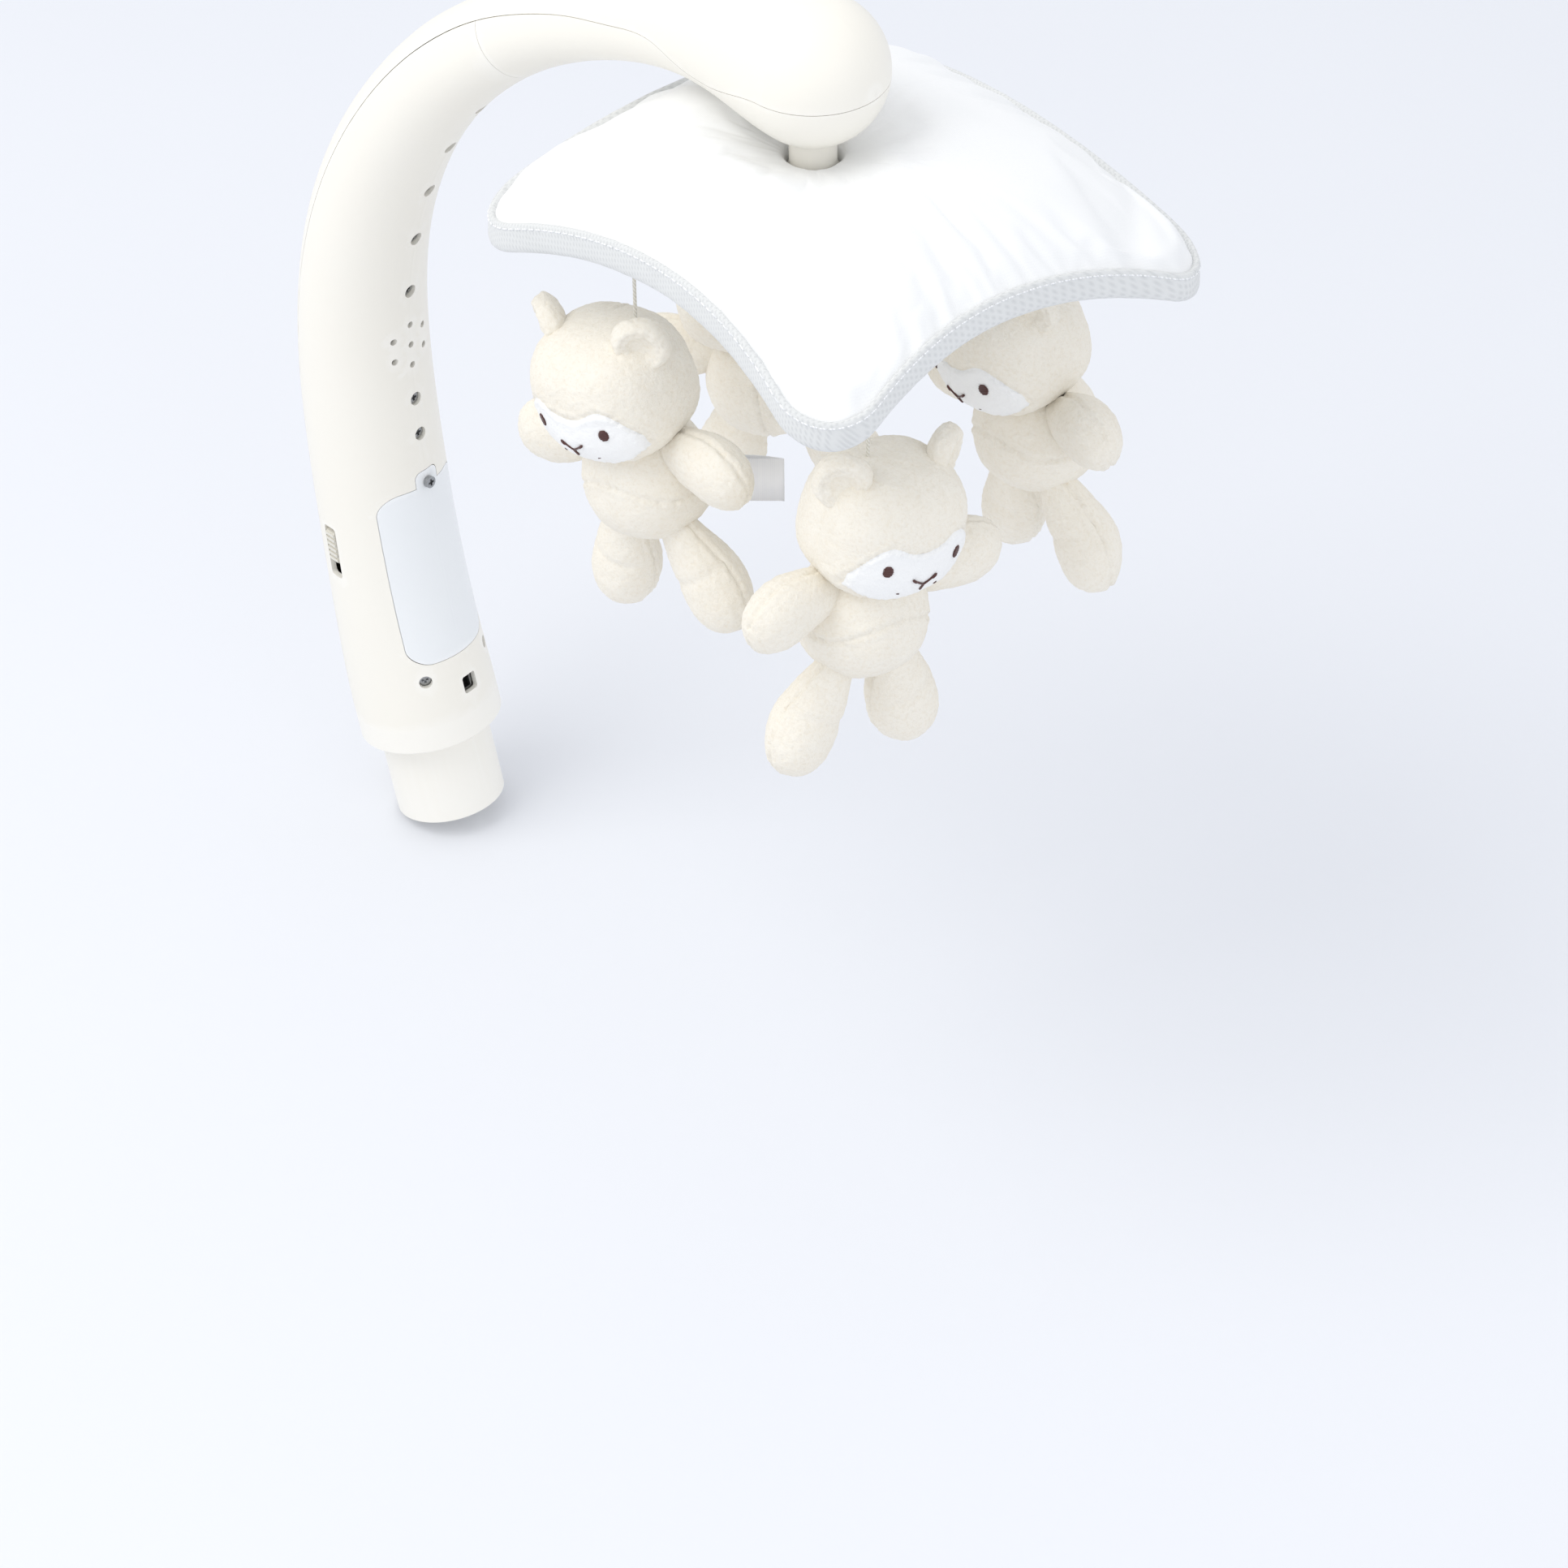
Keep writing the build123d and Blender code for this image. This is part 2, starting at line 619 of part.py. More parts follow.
inner_at_slider = arm_radius_at(slider_at) - shell_wall
knob_flange_top = sqrt(inner_at_slider**2 - (0.5 * knob_flange_width)**2) - knob_gap
with BuildPart(radial_plane(slider_at + 0.5 * slider_travel, slider_turn)) as switch_knob:
    with Locations((0, 0, knob_flange_top)):
        Box(slider_knob_length + 2 * knob_flange_margin, knob_flange_width, knob_flange,
            align=(Align.CENTER, Align.CENTER, Align.MAX))
    knob_top = inner_at_slider + shell_wall - knob_sink
    with Locations((0, 0, knob_flange_top - knob_flange)):
        Box(slider_knob_length, slider_knob_width, knob_top - knob_flange_top + knob_flange,
            align=(Align.CENTER, Align.CENTER, Align.MIN))
    rib_pitch = slider_knob_length / slider_ribs
    with Locations((0, 0, knob_top)):
        with GridLocations(rib_pitch, 1, slider_ribs, 1):
            Box(0.5 * rib_pitch, slider_knob_width, knob_rib_height,
                align=(Align.CENTER, Align.CENTER, Align.MIN))
save(switch_knob, "switch_knob")

switch_top = knob_flange_top - knob_flange - switch_gap
with BuildPart(radial_plane(slider_at, slider_turn, switch_top)) as switch_body:
    Box(switch_length, switch_width, switch_height, align=(Align.CENTER, Align.CENTER, Align.MAX))
save(switch_body, "switch_body")


# ---------------------------------------------------------------- leads
def lead(points):
    """A round wire along straight runs joined by tangent arcs as large as the runs allow."""
    places = [Vector(*point) for point in points]
    radii = []
    for before, corner, after in zip(places, places[1:], places[2:]):
        arriving = corner - before
        leaving = after - corner
        half_turn = radians(0.5 * arriving.get_angle(leaving))
        radii.append(0.45 * min(arriving.length, leaving.length) / tan(half_turn))
    with BuildPart() as wire:
        with BuildLine() as route:
            FilletPolyline(*places, radius=radii)
        path = route.wires()[0]
        with BuildSketch(Plane(origin=path @ 0, z_dir=path % 0)):
            Circle(lead_radius)
        sweep(path=path)
    section = pi * lead_radius**2
    print("lead length", round(path.length, 1), "arc radii", [round(radius) for radius in radii],
          "volume over section times length", round(wire.part.volume / (section * path.length), 4))
    return wire


def inside_arm(distance, inwards, side):
    section = arm_plane(distance)
    return tuple(section.from_local_coords((inwards, side, 0)))


hub_x = head_centre.X
head_z = head_centre.Z
compound_turn = 150.0
pinion_turn = 250.0
output_to_compound = 0.5 * gear_module * (output_teeth + compound_small_teeth)
compound_to_pinion = 0.5 * gear_module * (compound_large_teeth + pinion_teeth)
compound_x = hub_x + output_to_compound * cos(radians(compound_turn))
compound_y = output_to_compound * sin(radians(compound_turn))
pinion_x = compound_x + compound_to_pinion * cos(radians(pinion_turn))
pinion_y = compound_y + compound_to_pinion * sin(radians(pinion_turn))
output_gear_z = gearbox_floor + plate_thickness + gear_gap
large_gear_z = output_gear_z + output_gear_width + gear_gap
cover_z = large_gear_z + compound_gear_width + gear_gap
motor_z = cover_z + plate_thickness

board_end = board_from + board_length
lead_stations = (215, 258, 301, 344, 387, 430, 468)
motor_lead_points = [inside_arm(board_end + 0.1, -6, 9)]
motor_lead_points += [inside_arm(station, -4, 7.5) for station in lead_stations]
motor_lead_points += [(pinion_x - 30, 5, motor_z + 9), (pinion_x - motor_radius - 10, 0, motor_z + 11),
                      (pinion_x - motor_radius - 0.3, pinion_y, motor_z + 10)]
motor_lead = lead(motor_lead_points)
save(motor_lead, "motor_lead")

tray_end = bay_middle + 0.5 * tray_length + tray_wall
battery_lead = lead([inside_arm(tray_end + 0.6, 2, -8),
                     inside_arm(0.55 * tray_end + 0.45 * board_from, 0, -9),
                     inside_arm(board_from - 0.5, -6, -9)])
save(battery_lead, "battery_lead")


# ---------------------------------------------------------------- gears
def involute(angle):
    return tan(angle) - angle


def gear_outline(teeth, phase):
    """Points round a spur gear whose first tooth is centred on phase degrees."""
    pitch = 0.5 * gear_module * teeth
    base = pitch * cos(radians(pressure_angle))
    tip = pitch + 0.8 * gear_module
    root = pitch - 1.1 * gear_module
    half_tooth = (0.5 * pi * gear_module - 0.5 * gear_backlash) / (2 * pitch)
    flank = [(root, half_tooth + involute(radians(pressure_angle)))]
    steps = 5
    for step in range(steps + 1):
        radius = max(base, root) + (tip - max(base, root)) * step / steps
        turned = involute(acos(base / radius))
        flank.append((radius, half_tooth + involute(radians(pressure_angle)) - turned))
    points = []
    for tooth in range(teeth):
        middle = radians(phase) + 2 * pi * tooth / teeth
        rising = [(radius, middle - half) for radius, half in flank]
        falling = [(radius, middle + half) for radius, half in reversed(flank)]
        points += [(radius * cos(angle), radius * sin(angle)) for radius, angle in rising + falling]
    return points


def mesh_phase(teeth_a, phase_a, direction, teeth_b):
    """Phase that puts gear b's teeth in the gaps of gear a, which lies back along direction."""
    share = (direction - phase_a) * teeth_a / 360
    return direction + 180 - (0.5 - share) * 360 / teeth_b


def gear_disc(teeth, phase, place, bottom, width):
    with BuildPart() as disc:
        with BuildSketch(Plane(origin=(place[0], place[1], bottom))):
            Polygon(*gear_outline(teeth, phase), align=None)
        extrude(amount=width)
    return disc.part


def upright(place, bottom):
    return Plane(origin=(place[0], place[1], bottom))


hub_place = (hub_x, 0)
compound_place = (compound_x, compound_y)
pinion_place = (pinion_x, pinion_y)
rise = (Align.CENTER, Align.CENTER, Align.MIN)
thin_shaft_radius = 2.0
small_gear_phase = mesh_phase(output_teeth, 0, compound_turn, compound_small_teeth)
pinion_phase = mesh_phase(compound_large_teeth, 0, pinion_turn, pinion_teeth)

with BuildPart(upright(hub_place, gearbox_floor)) as gearbox_base:
    Cylinder(gearbox_plate_radius, plate_thickness, align=rise)
    Cylinder(shaft_radius + shaft_clearance, plate_thickness, align=rise, mode=Mode.SUBTRACT)
    with BuildSketch(upright((0, 0), gearbox_floor)):
        with Locations(*pillar_places):
            Circle(pillar_radius)
    extrude(amount=cover_z - gearbox_floor)
    with BuildSketch(upright((0, 0), gearbox_floor)):
        with Locations(*pillar_places):
            Circle(screw_shank_radius - 0.4 + thread_clearance)
        with Locations(compound_place):
            Circle(axle_radius)
    extrude(amount=cover_z - gearbox_floor, mode=Mode.SUBTRACT)
save(gearbox_base, "gearbox_base")

with BuildPart(upright(hub_place, cover_z)) as gearbox_cover:
    Cylinder(gearbox_plate_radius, plate_thickness, align=rise)
    Cylinder(thin_shaft_radius + shaft_clearance, plate_thickness, align=rise, mode=Mode.SUBTRACT)
    with BuildSketch(upright((0, 0), cover_z)):
        with Locations(*pillar_places):
            Circle(screw_shank_radius - 0.4 + seat_clearance)
        with Locations(compound_place):
            Circle(axle_radius)
        with Locations(pinion_place):
            Circle(motor_shaft_radius + 4 * shaft_clearance)
    extrude(amount=plate_thickness, mode=Mode.SUBTRACT)
save(gearbox_cover, "gearbox_cover")

with BuildPart() as gearbox_screws:
    for place in pillar_places:
        with BuildSketch(upright(place, motor_z)):
            Circle(0.8 * screw_head_radius)
        extrude(amount=0.7 * screw_head_height)
        with BuildSketch(upright(place, motor_z)):
            Circle(screw_shank_radius - 0.4)
        extrude(amount=-6)
save(gearbox_screws, "gearbox_screws")

with BuildPart(upright(compound_place, gearbox_floor)) as gear_axle:
    Cylinder(axle_radius, motor_z - gearbox_floor, align=rise)
save(gear_axle, "gear_axle")

with BuildPart() as output_gear:
    add(gear_disc(output_teeth, 0, hub_place, output_gear_z, output_gear_width))
    with BuildSketch(upright(hub_place, output_gear_z)):
        Circle(shaft_radius)
    extrude(amount=output_gear_width, mode=Mode.SUBTRACT)
save(output_gear, "output_gear")

with BuildPart() as compound_gear:
    add(gear_disc(compound_small_teeth, small_gear_phase, compound_place, output_gear_z,
                  large_gear_z - output_gear_z))
    add(gear_disc(compound_large_teeth, 0, compound_place, large_gear_z, compound_gear_width))
    with BuildSketch(upright(compound_place, output_gear_z)):
        Circle(axle_radius + shaft_clearance)
    extrude(amount=cover_z - output_gear_z, mode=Mode.SUBTRACT)
save(compound_gear, "compound_gear")

with BuildPart() as motor_pinion:
    add(gear_disc(pinion_teeth, pinion_phase, pinion_place, large_gear_z, compound_gear_width))
    with BuildSketch(upright(pinion_place, large_gear_z)):
        Circle(motor_shaft_radius)
    extrude(amount=compound_gear_width, mode=Mode.SUBTRACT)
save(motor_pinion, "motor_pinion")

with BuildPart(upright(pinion_place, large_gear_z)) as motor_shaft:
    Cylinder(motor_shaft_radius, motor_z - large_gear_z + 0.7 * motor_length, align=rise)
save(motor_shaft, "motor_shaft")

with BuildPart(upright(pinion_place, motor_z)) as motor:
    Cylinder(motor_radius, motor_length, align=rise)
    chamfer(motor.edges().group_by(Axis.Z)[-1], 1.0)
    Cylinder(motor_shaft_radius + shaft_clearance, 0.75 * motor_length, align=rise, mode=Mode.SUBTRACT)
save(motor, "motor")


# ---------------------------------------------------------------- canopy
crown_z = head_z - head_radius - canopy_gap
hub_top = gearbox_floor - hub_top_drop


def crown_drop(radius):
    """How far the pad's top lies below its crown, at a distance from the hub's axis."""
    if radius < dimple_radius:
        return dimple_depth * ((dimple_radius - radius) / (dimple_radius - pad_hole_radius))**2
    return canopy_fall * ((radius - dimple_radius) / (canopy_reach - dimple_radius))**1.6


def dome_curve(first, last, steps, below):
    """Points on the pad's top, moved down by below, from one radius to another."""
    radii = [first + (last - first) * step / steps for step in range(steps + 1)]
    return [(hub_x + radius, crown_z - crown_drop(radius) - below) for radius in radii]


def dome_shell(first, last, steps, top, bottom):
    upper = dome_curve(first, last, steps, top)
    lower = dome_curve(first, last, steps, bottom)
    with BuildPart() as shell:
        with BuildSketch(Plane.XZ):
            with BuildLine():
                Spline(*upper)
                Line(upper[-1], lower[-1])
                Spline(*lower)
                Line(lower[0], upper[0])
            make_face()
        revolve(axis=Axis((hub_x, 0, 0), (0, 0, 1)))
    return shell.part


def star(inset):
    """The canopy's outline from above, drawn in by inset, as a tall block."""
    middle = (hub_x + canopy_shift_x, canopy_shift_y)
    corner = canopy_corner - corner_inset * inset
    side = canopy_side - inset
    with BuildPart() as block:
        with BuildSketch(Plane(origin=(middle[0], middle[1], crown_z - 80))):
            with BuildLine():
                for lobe in range(4):
                    here = radians(canopy_turn + 90 * lobe)
                    half = here + radians(45)
                    after = here + radians(90)
                    ThreePointArc((corner * cos(here), corner * sin(here)),
                                  (side * cos(half), side * sin(half)),
                                  (corner * cos(after), corner * sin(after)))
            star_face = make_face()
            fillet(star_face.vertices(), canopy_corner_rounding - inset)
        extrude(amount=100)
    return block.part


shell_reach = canopy_reach + canopy_corner_rounding
with BuildPart() as canopy_pad:
    add(dome_shell(pad_hole_radius, shell_reach, 12, 0, pad_thickness))
    add(star(binding_width + binding_gap), mode=Mode.INTERSECT)
save(canopy_pad, "canopy_pad")

with BuildPart() as canopy_binding:
    add(dome_shell(pad_hole_radius, shell_reach, 12, binding_top, binding_top + binding_drop))
    add(star(0) - star(binding_width), mode=Mode.INTERSECT)
save(canopy_binding, "canopy_binding")

frame_top = crown_z - dimple_depth - pad_thickness - frame_gap
frame_bottom = frame_top - spoke_thickness
with BuildPart(upright(hub_place, frame_top)) as canopy_hub:
    with BuildSketch(Plane.XZ):
        with BuildLine():
            Polyline((hub_x, frame_top), (hub_x + hub_radius + hub_flange, frame_top),
                     (hub_x + hub_radius + hub_flange, frame_top + hub_flange_height),
                     (hub_x + hub_radius, frame_top + hub_cone_top),
                     (hub_x + hub_radius, hub_top - hub_chamfer),
                     (hub_x + hub_radius - hub_chamfer, hub_top),
                     (hub_x, hub_top), (hub_x, frame_top))
        make_face()
    revolve(axis=Axis((hub_x, 0, 0), (0, 0, 1)))
    Cylinder(shaft_radius, hub_top - frame_top, align=rise, mode=Mode.SUBTRACT)
save(canopy_hub, "canopy_hub")

shaft_foot = frame_top + shaft_seat
with BuildPart(upright(hub_place, shaft_foot)) as output_shaft:
    Cylinder(shaft_radius, output_gear_z + output_gear_width - shaft_foot, align=rise)
    Cylinder(thin_shaft_radius, motor_z - shaft_foot, align=rise)
    Cylinder(screw_shank_radius + thread_clearance, hub_screw_length, align=rise, mode=Mode.SUBTRACT)
save(output_shaft, "output_shaft")

spoke_turns = [spoke_turn + 90 * spoke for spoke in range(4)]
eyelet_sink = pad_thickness + spoke_thickness + spoke_gap + 0.7 * eyelet_radius
eyelets = [Vector(hub_x + radius * cos(radians(turn)), radius * sin(radians(turn)),
                  crown_z - crown_drop(radius) - eyelet_sink)
           for turn, radius in zip(spoke_turns, hang_radii)]

with BuildPart(upright(hub_place, frame_bottom)) as canopy_frame:
    Cylinder(frame_disc_radius, spoke_thickness, align=rise)
    Cylinder(screw_shank_radius + seat_clearance, spoke_thickness, align=rise, mode=Mode.SUBTRACT)
    for turn, hang_radius, eyelet in zip(spoke_turns, hang_radii, eyelets):
        along = Vector(cos(radians(turn)), sin(radians(turn)), 0)
        across = along.cross(Vector(0, 0, 1))
        spoke_plane = Plane(origin=(hub_x, 0, 0), x_dir=along, z_dir=across)
        tip = hang_radius + spoke_overhang
        spoke_radii = (frame_disc_radius - 3, 0.25 * tip + 0.75 * frame_disc_radius,
                       0.5 * (tip + frame_disc_radius), 0.75 * tip + 0.25 * frame_disc_radius, tip)
        spoke_crown = crown_z - pad_thickness - spoke_gap
        tops = [(radius, spoke_crown - crown_drop(radius)) for radius in spoke_radii]
        tops[0] = (tops[0][0], frame_top)
        bottoms = [(radius, height - spoke_thickness) for radius, height in tops]
        with BuildSketch(spoke_plane):
            with BuildLine():
                Spline(*tops)
                Line(tops[-1], bottoms[-1])
                Spline(*bottoms)
                Line(bottoms[0], tops[0])
            make_face()
        extrude(amount=0.5 * spoke_width, both=True)
        with BuildSketch(Plane(origin=eyelet, x_dir=across, z_dir=along)):
            Circle(eyelet_radius)
            with Locations((0, 0.5 * eyelet_radius)):
                Rectangle(2 * eyelet_radius, eyelet_radius)
        extrude(amount=0.5 * eyelet_thickness, both=True)
        with BuildSketch(Plane(origin=eyelet, x_dir=across, z_dir=along)):
            Circle(eyelet_hole_radius)
        extrude(amount=0.5 * eyelet_thickness, both=True, mode=Mode.SUBTRACT)
save(canopy_frame, "canopy_frame")

with BuildPart() as hub_screw:
    add(screw(Plane(origin=(hub_x, 0, frame_bottom), x_dir=(1, 0, 0), z_dir=(0, 0, -1)), hub_screw_length))
save(hub_screw, "hub_screw")


# ---------------------------------------------------------------- bears
def stuffed(centre, direction, half_length, radius):
    """A plump shape, round about the direction through its centre."""
    direction = Vector(*direction).normalized()
    beside = direction.cross(Vector(0, 0, 1) if abs(direction.Z) < 0.9 else Vector(1, 0, 0))
    with BuildPart() as shape:
        with BuildSketch(Plane(origin=centre, x_dir=direction, z_dir=beside)):
            Ellipse(half_length, radius)
            Rectangle(2.2 * half_length, 1.1 * radius, align=(Align.CENTER, Align.MAX), mode=Mode.SUBTRACT)
        revolve(axis=Axis(centre, direction))
    return shape.part


lean_axis = Axis((0, 0, 0), (cos(radians(lean_heading)), sin(radians(lean_heading)), 0))
string_stop = 0.3           # left between the string's end and the head under it


def bear_frame(number):
    """The top of a bear's head, its sideways, forward and downward directions, and its string's lower end."""
    eyelet = eyelets[number]
    foot = eyelet - Vector(0, 0, eyelet_radius + string_gap + string_lengths[number])
    facing = radians(bear_facings[number])
    level_front = Vector(cos(facing), sin(facing), 0)
    level_left = Vector(-sin(facing), cos(facing), 0)
    front = level_front.rotate(lean_axis, bear_leans[number])
    left = level_left.rotate(lean_axis, bear_leans[number])
    down = Vector(0, 0, -1).rotate(lean_axis, bear_leans[number])
    crown = foot + balance_drop * (Vector(0, 0, -1) - down)
    return crown, left, front, down, foot


def head_sink(above, left):
    """How far straight down a head's surface lies from a point, given from the head's middle."""
    slope = -left.Z
    beside = above.dot(left)
    wide, high = head_half_width**-2, head_half_height**-2
    square = slope**2 * wide + (1 - slope**2) * high
    linear = 2 * (beside * slope * wide + (-above.Z - beside * slope) * high)
    rest = beside**2 * wide + (above.dot(above) - beside**2) * high - 1
    return (-linear - sqrt(linear**2 - 4 * square * rest)) / (2 * square)


for number in range(1, 5):
    crown, left, front, down, foot = bear_frame(number - 1)
    head_middle = crown + head_half_height * down
    torso_middle = crown + torso_drop * down

    with BuildPart() as bear_head:
        add(stuffed(head_middle, left, head_half_width, head_half_height))
    save(bear_head, f"bear_{number}_head")

    sink = head_sink(foot - head_middle, left) - string_stop
    with BuildPart(Plane(origin=foot - Vector(0, 0, sink))) as bear_string:
        Cylinder(string_radius, string_lengths[number - 1] + sink, align=rise)
    save(bear_string, f"bear_{number}_string")

    with BuildPart() as bear_ears:
        for side in (-1, 1):
            ear_middle = crown + side * ear_out * left + ear_drop * down
            outwards = side * sin(radians(ear_turn)) * left + cos(radians(ear_turn)) * front
            ear_plane = Plane(origin=ear_middle, z_dir=outwards)
            with BuildSketch(ear_plane.offset(-ear_half_thickness)):
                Circle(ear_radius)
            extrude(amount=2 * ear_half_thickness)
        round_edges = bear_ears.edges().filter_by(GeomType.CIRCLE)
        fillet(round_edges, 0.8 * ear_half_thickness)
        add(bear_head.part, mode=Mode.SUBTRACT)
    save(bear_ears, f"bear_{number}_ears")

    with BuildPart() as bear_torso:
        add(stuffed(torso_middle, down, torso_half_height, torso_radius))
        add(bear_head.part, mode=Mode.SUBTRACT)
    save(bear_torso, f"bear_{number}_torso")

    with BuildPart() as bear_arms:
        for side, tilt in zip((1, -1), arm_tilts[number - 1]):
            reach = side * cos(radians(tilt)) * left + sin(radians(tilt)) * down
            add(stuffed(crown + arm_drop * down + side * arm_out * left, reach, arm_half_length, arm_radius))
        add(bear_head.part, mode=Mode.SUBTRACT)
        add(bear_torso.part, mode=Mode.SUBTRACT)
    save(bear_arms, f"bear_{number}_arms")

    with BuildPart() as bear_legs:
        for side in (-1, 1):
            reach = side * sin(radians(leg_splay)) * left + cos(radians(leg_splay)) * down
            hip = crown + leg_drop * down + side * leg_out * left + leg_forward * front
            add(stuffed(hip, reach, leg_half_length, leg_radius))
        add(bear_torso.part, mode=Mode.SUBTRACT)
    save(bear_legs, f"bear_{number}_legs")

# ---------------------------------------------------------------- care label on the first bear
label_out = Vector(cos(radians(label_turn)), sin(radians(label_turn)), 0)
crown, left, front, down, foot = bear_frame(0)
label_root = crown + (torso_drop + label_below) * down
with BuildPart(Plane(origin=label_root + (torso_radius + label_gap) * label_out, x_dir=label_out,
                     z_dir=(0, 0, 1))) as care_label:
    Box(label_length, label_thickness, label_width, align=(Align.MIN, Align.CENTER, Align.CENTER))
save(care_label, "care_label")
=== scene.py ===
import math

import bpy
import numpy as np
from mathutils import Matrix, Vector, noise


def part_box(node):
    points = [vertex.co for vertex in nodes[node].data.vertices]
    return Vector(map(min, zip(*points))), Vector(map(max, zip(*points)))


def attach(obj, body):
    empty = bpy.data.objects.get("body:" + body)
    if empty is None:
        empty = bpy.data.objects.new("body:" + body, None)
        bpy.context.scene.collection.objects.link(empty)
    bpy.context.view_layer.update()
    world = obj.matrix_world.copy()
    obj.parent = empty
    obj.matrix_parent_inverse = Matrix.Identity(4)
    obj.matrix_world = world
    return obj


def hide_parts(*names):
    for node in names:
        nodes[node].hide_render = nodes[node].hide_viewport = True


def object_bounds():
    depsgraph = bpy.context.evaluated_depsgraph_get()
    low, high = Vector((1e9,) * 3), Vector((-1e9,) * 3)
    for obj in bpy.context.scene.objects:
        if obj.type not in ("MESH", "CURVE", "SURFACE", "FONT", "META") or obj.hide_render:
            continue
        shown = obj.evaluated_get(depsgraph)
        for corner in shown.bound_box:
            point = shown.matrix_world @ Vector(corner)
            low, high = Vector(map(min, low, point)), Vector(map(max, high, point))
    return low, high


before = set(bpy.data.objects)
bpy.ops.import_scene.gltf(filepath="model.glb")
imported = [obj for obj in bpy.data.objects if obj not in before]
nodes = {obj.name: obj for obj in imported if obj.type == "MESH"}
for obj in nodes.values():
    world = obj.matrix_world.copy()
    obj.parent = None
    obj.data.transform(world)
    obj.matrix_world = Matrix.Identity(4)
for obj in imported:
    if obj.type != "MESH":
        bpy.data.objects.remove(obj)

# Crib mobile: moulded arm, padded star canopy and four plush bears.
# Lengths in the dictionaries are millimetres; mm turns them into metres.

cadLow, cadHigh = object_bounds()
scene = bpy.context.scene
mm = 0.001
print("frame loaded,", len(nodes), "nodes")


# small helpers

def linearColour(hexText):
    channels = [int(hexText[i:i + 2], 16) / 255 for i in (1, 3, 5)]
    return tuple(c / 12.92 if c <= 0.04045 else ((c + 0.055) / 1.055) ** 2.4 for c in channels) + (1.0,)


def addNode(tree, kind, settings=None, links=None):
    node = tree.nodes.new(kind)
    for key, value in (settings or {}).items():
        if isinstance(key, str) and hasattr(node, key):
            setattr(node, key, value)
        else:
            node.inputs[key].default_value = value
    for key, socket in (links or {}).items():
        tree.links.new(socket, node.inputs[key])
    return node


def newMaterial(name):
    material = bpy.data.materials.new(name)
    material.use_nodes = True
    material.node_tree.nodes.clear()
    return material, material.node_tree


def closeMaterial(tree, settings, links):
    shader = addNode(tree, "ShaderNodeBsdfPrincipled", settings, links)
    addNode(tree, "ShaderNodeOutputMaterial", None, {"Surface": shader.outputs[0]})


def smoothstep(low, high, value):
    t = np.clip((value - low) / (high - low), 0, 1)
    return t * t * (3 - 2 * t)


def noiseAt(points, scaleMm, seed):
    # one soft random value for each point, about one bump every scaleMm
    step = 1 / scaleMm
    return np.array([noise.noise(Vector((x * step + seed, y * step - seed, z * step + 2 * seed)))
                     for x, y, z in points])


def meshPiece(name, points, faces, material):
    # points in millimetres, in the frame
    mesh = bpy.data.meshes.new(name)
    mesh.from_pydata([tuple(p) for p in np.asarray(points, float) * mm], [], faces)
    mesh.validate()
    mesh.polygons.foreach_set("use_smooth", [True] * len(mesh.polygons))
    mesh.materials.append(material)
    piece = bpy.data.objects.new(name, mesh)
    scene.collection.objects.link(piece)
    return piece


def ringFaces(rings, around):
    # quads between rings of points, each ring closed on itself
    return [(i * around + j, i * around + (j + 1) % around, (i + 1) * around + (j + 1) % around, (i + 1) * around + j)
            for i in range(rings - 1) for j in range(around)]


# camera: long lens from the crib's near corner, looking down at the arm
cameraLook = {"place": (1.18558, -1.18362, 1.35554), "heading": -50.27, "elevation": 39.92,
              "roll": -0.46, "lens": 111.8}


def makeCamera(look):
    heading = math.radians(look["heading"])
    elevation = math.radians(look["elevation"])
    roll = math.radians(look["roll"])
    back = Vector((math.cos(elevation) * math.cos(heading), math.cos(elevation) * math.sin(heading),
                   math.sin(elevation)))
    right = (-back).cross(Vector((0, 0, 1))).normalized()
    up = right.cross(-back)
    turnedRight = math.cos(roll) * right + math.sin(roll) * up
    turnedUp = math.cos(roll) * up - math.sin(roll) * right
    data = bpy.data.cameras.new("studioCamera")
    data.lens = look["lens"]
    data.sensor_width = 36
    data.clip_end = 20
    camera = bpy.data.objects.new("studioCamera", data)
    turn = Matrix((turnedRight, turnedUp, back)).transposed()
    camera.matrix_world = Matrix.Translation(look["place"]) @ turn.to_4x4()
    scene.collection.objects.link(camera)
    scene.camera = camera


makeCamera(cameraLook)


# light: a wide overhead softbox, a fill beside the camera, and a bright pale room
studioLight = {"room": "#F4F6FA", "roomStrength": 0.98,
               "key": {"size": 1.5, "power": 17, "colour": "#FFFDF8", "place": (-0.5, -1.1, 2.0)},
               "fill": {"size": 1.6, "power": 3, "colour": "#F8FAFF", "place": (1.9, -0.4, 1.0)}}


def makeLight(name, look, target):
    data = bpy.data.lights.new(name, "AREA")
    data.size = look["size"]
    data.energy = look["power"]
    data.color = linearColour(look["colour"])[:3]
    lamp = bpy.data.objects.new(name, data)
    lamp.location = look["place"]
    lamp.rotation_mode = "QUATERNION"
    lamp.rotation_quaternion = (Vector(target) - Vector(look["place"])).to_track_quat("-Z", "Y")
    scene.collection.objects.link(lamp)


def makeStudio(look):
    middle = (0.5 * (cadLow.x + cadHigh.x), 0.5 * (cadLow.y + cadHigh.y), 0.5 * (cadLow.z + cadHigh.z))
    makeLight("keySoftbox", look["key"], middle)
    makeLight("fillSoftbox", look["fill"], middle)
    world = bpy.data.worlds.new("paleRoom")
    world.use_nodes = True
    background = world.node_tree.nodes["Background"]
    background.inputs["Color"].default_value = linearColour(look["room"])
    background.inputs["Strength"].default_value = look["roomStrength"]
    scene.world = world
    scene.view_settings.view_transform = "Standard"


makeStudio(studioLight)

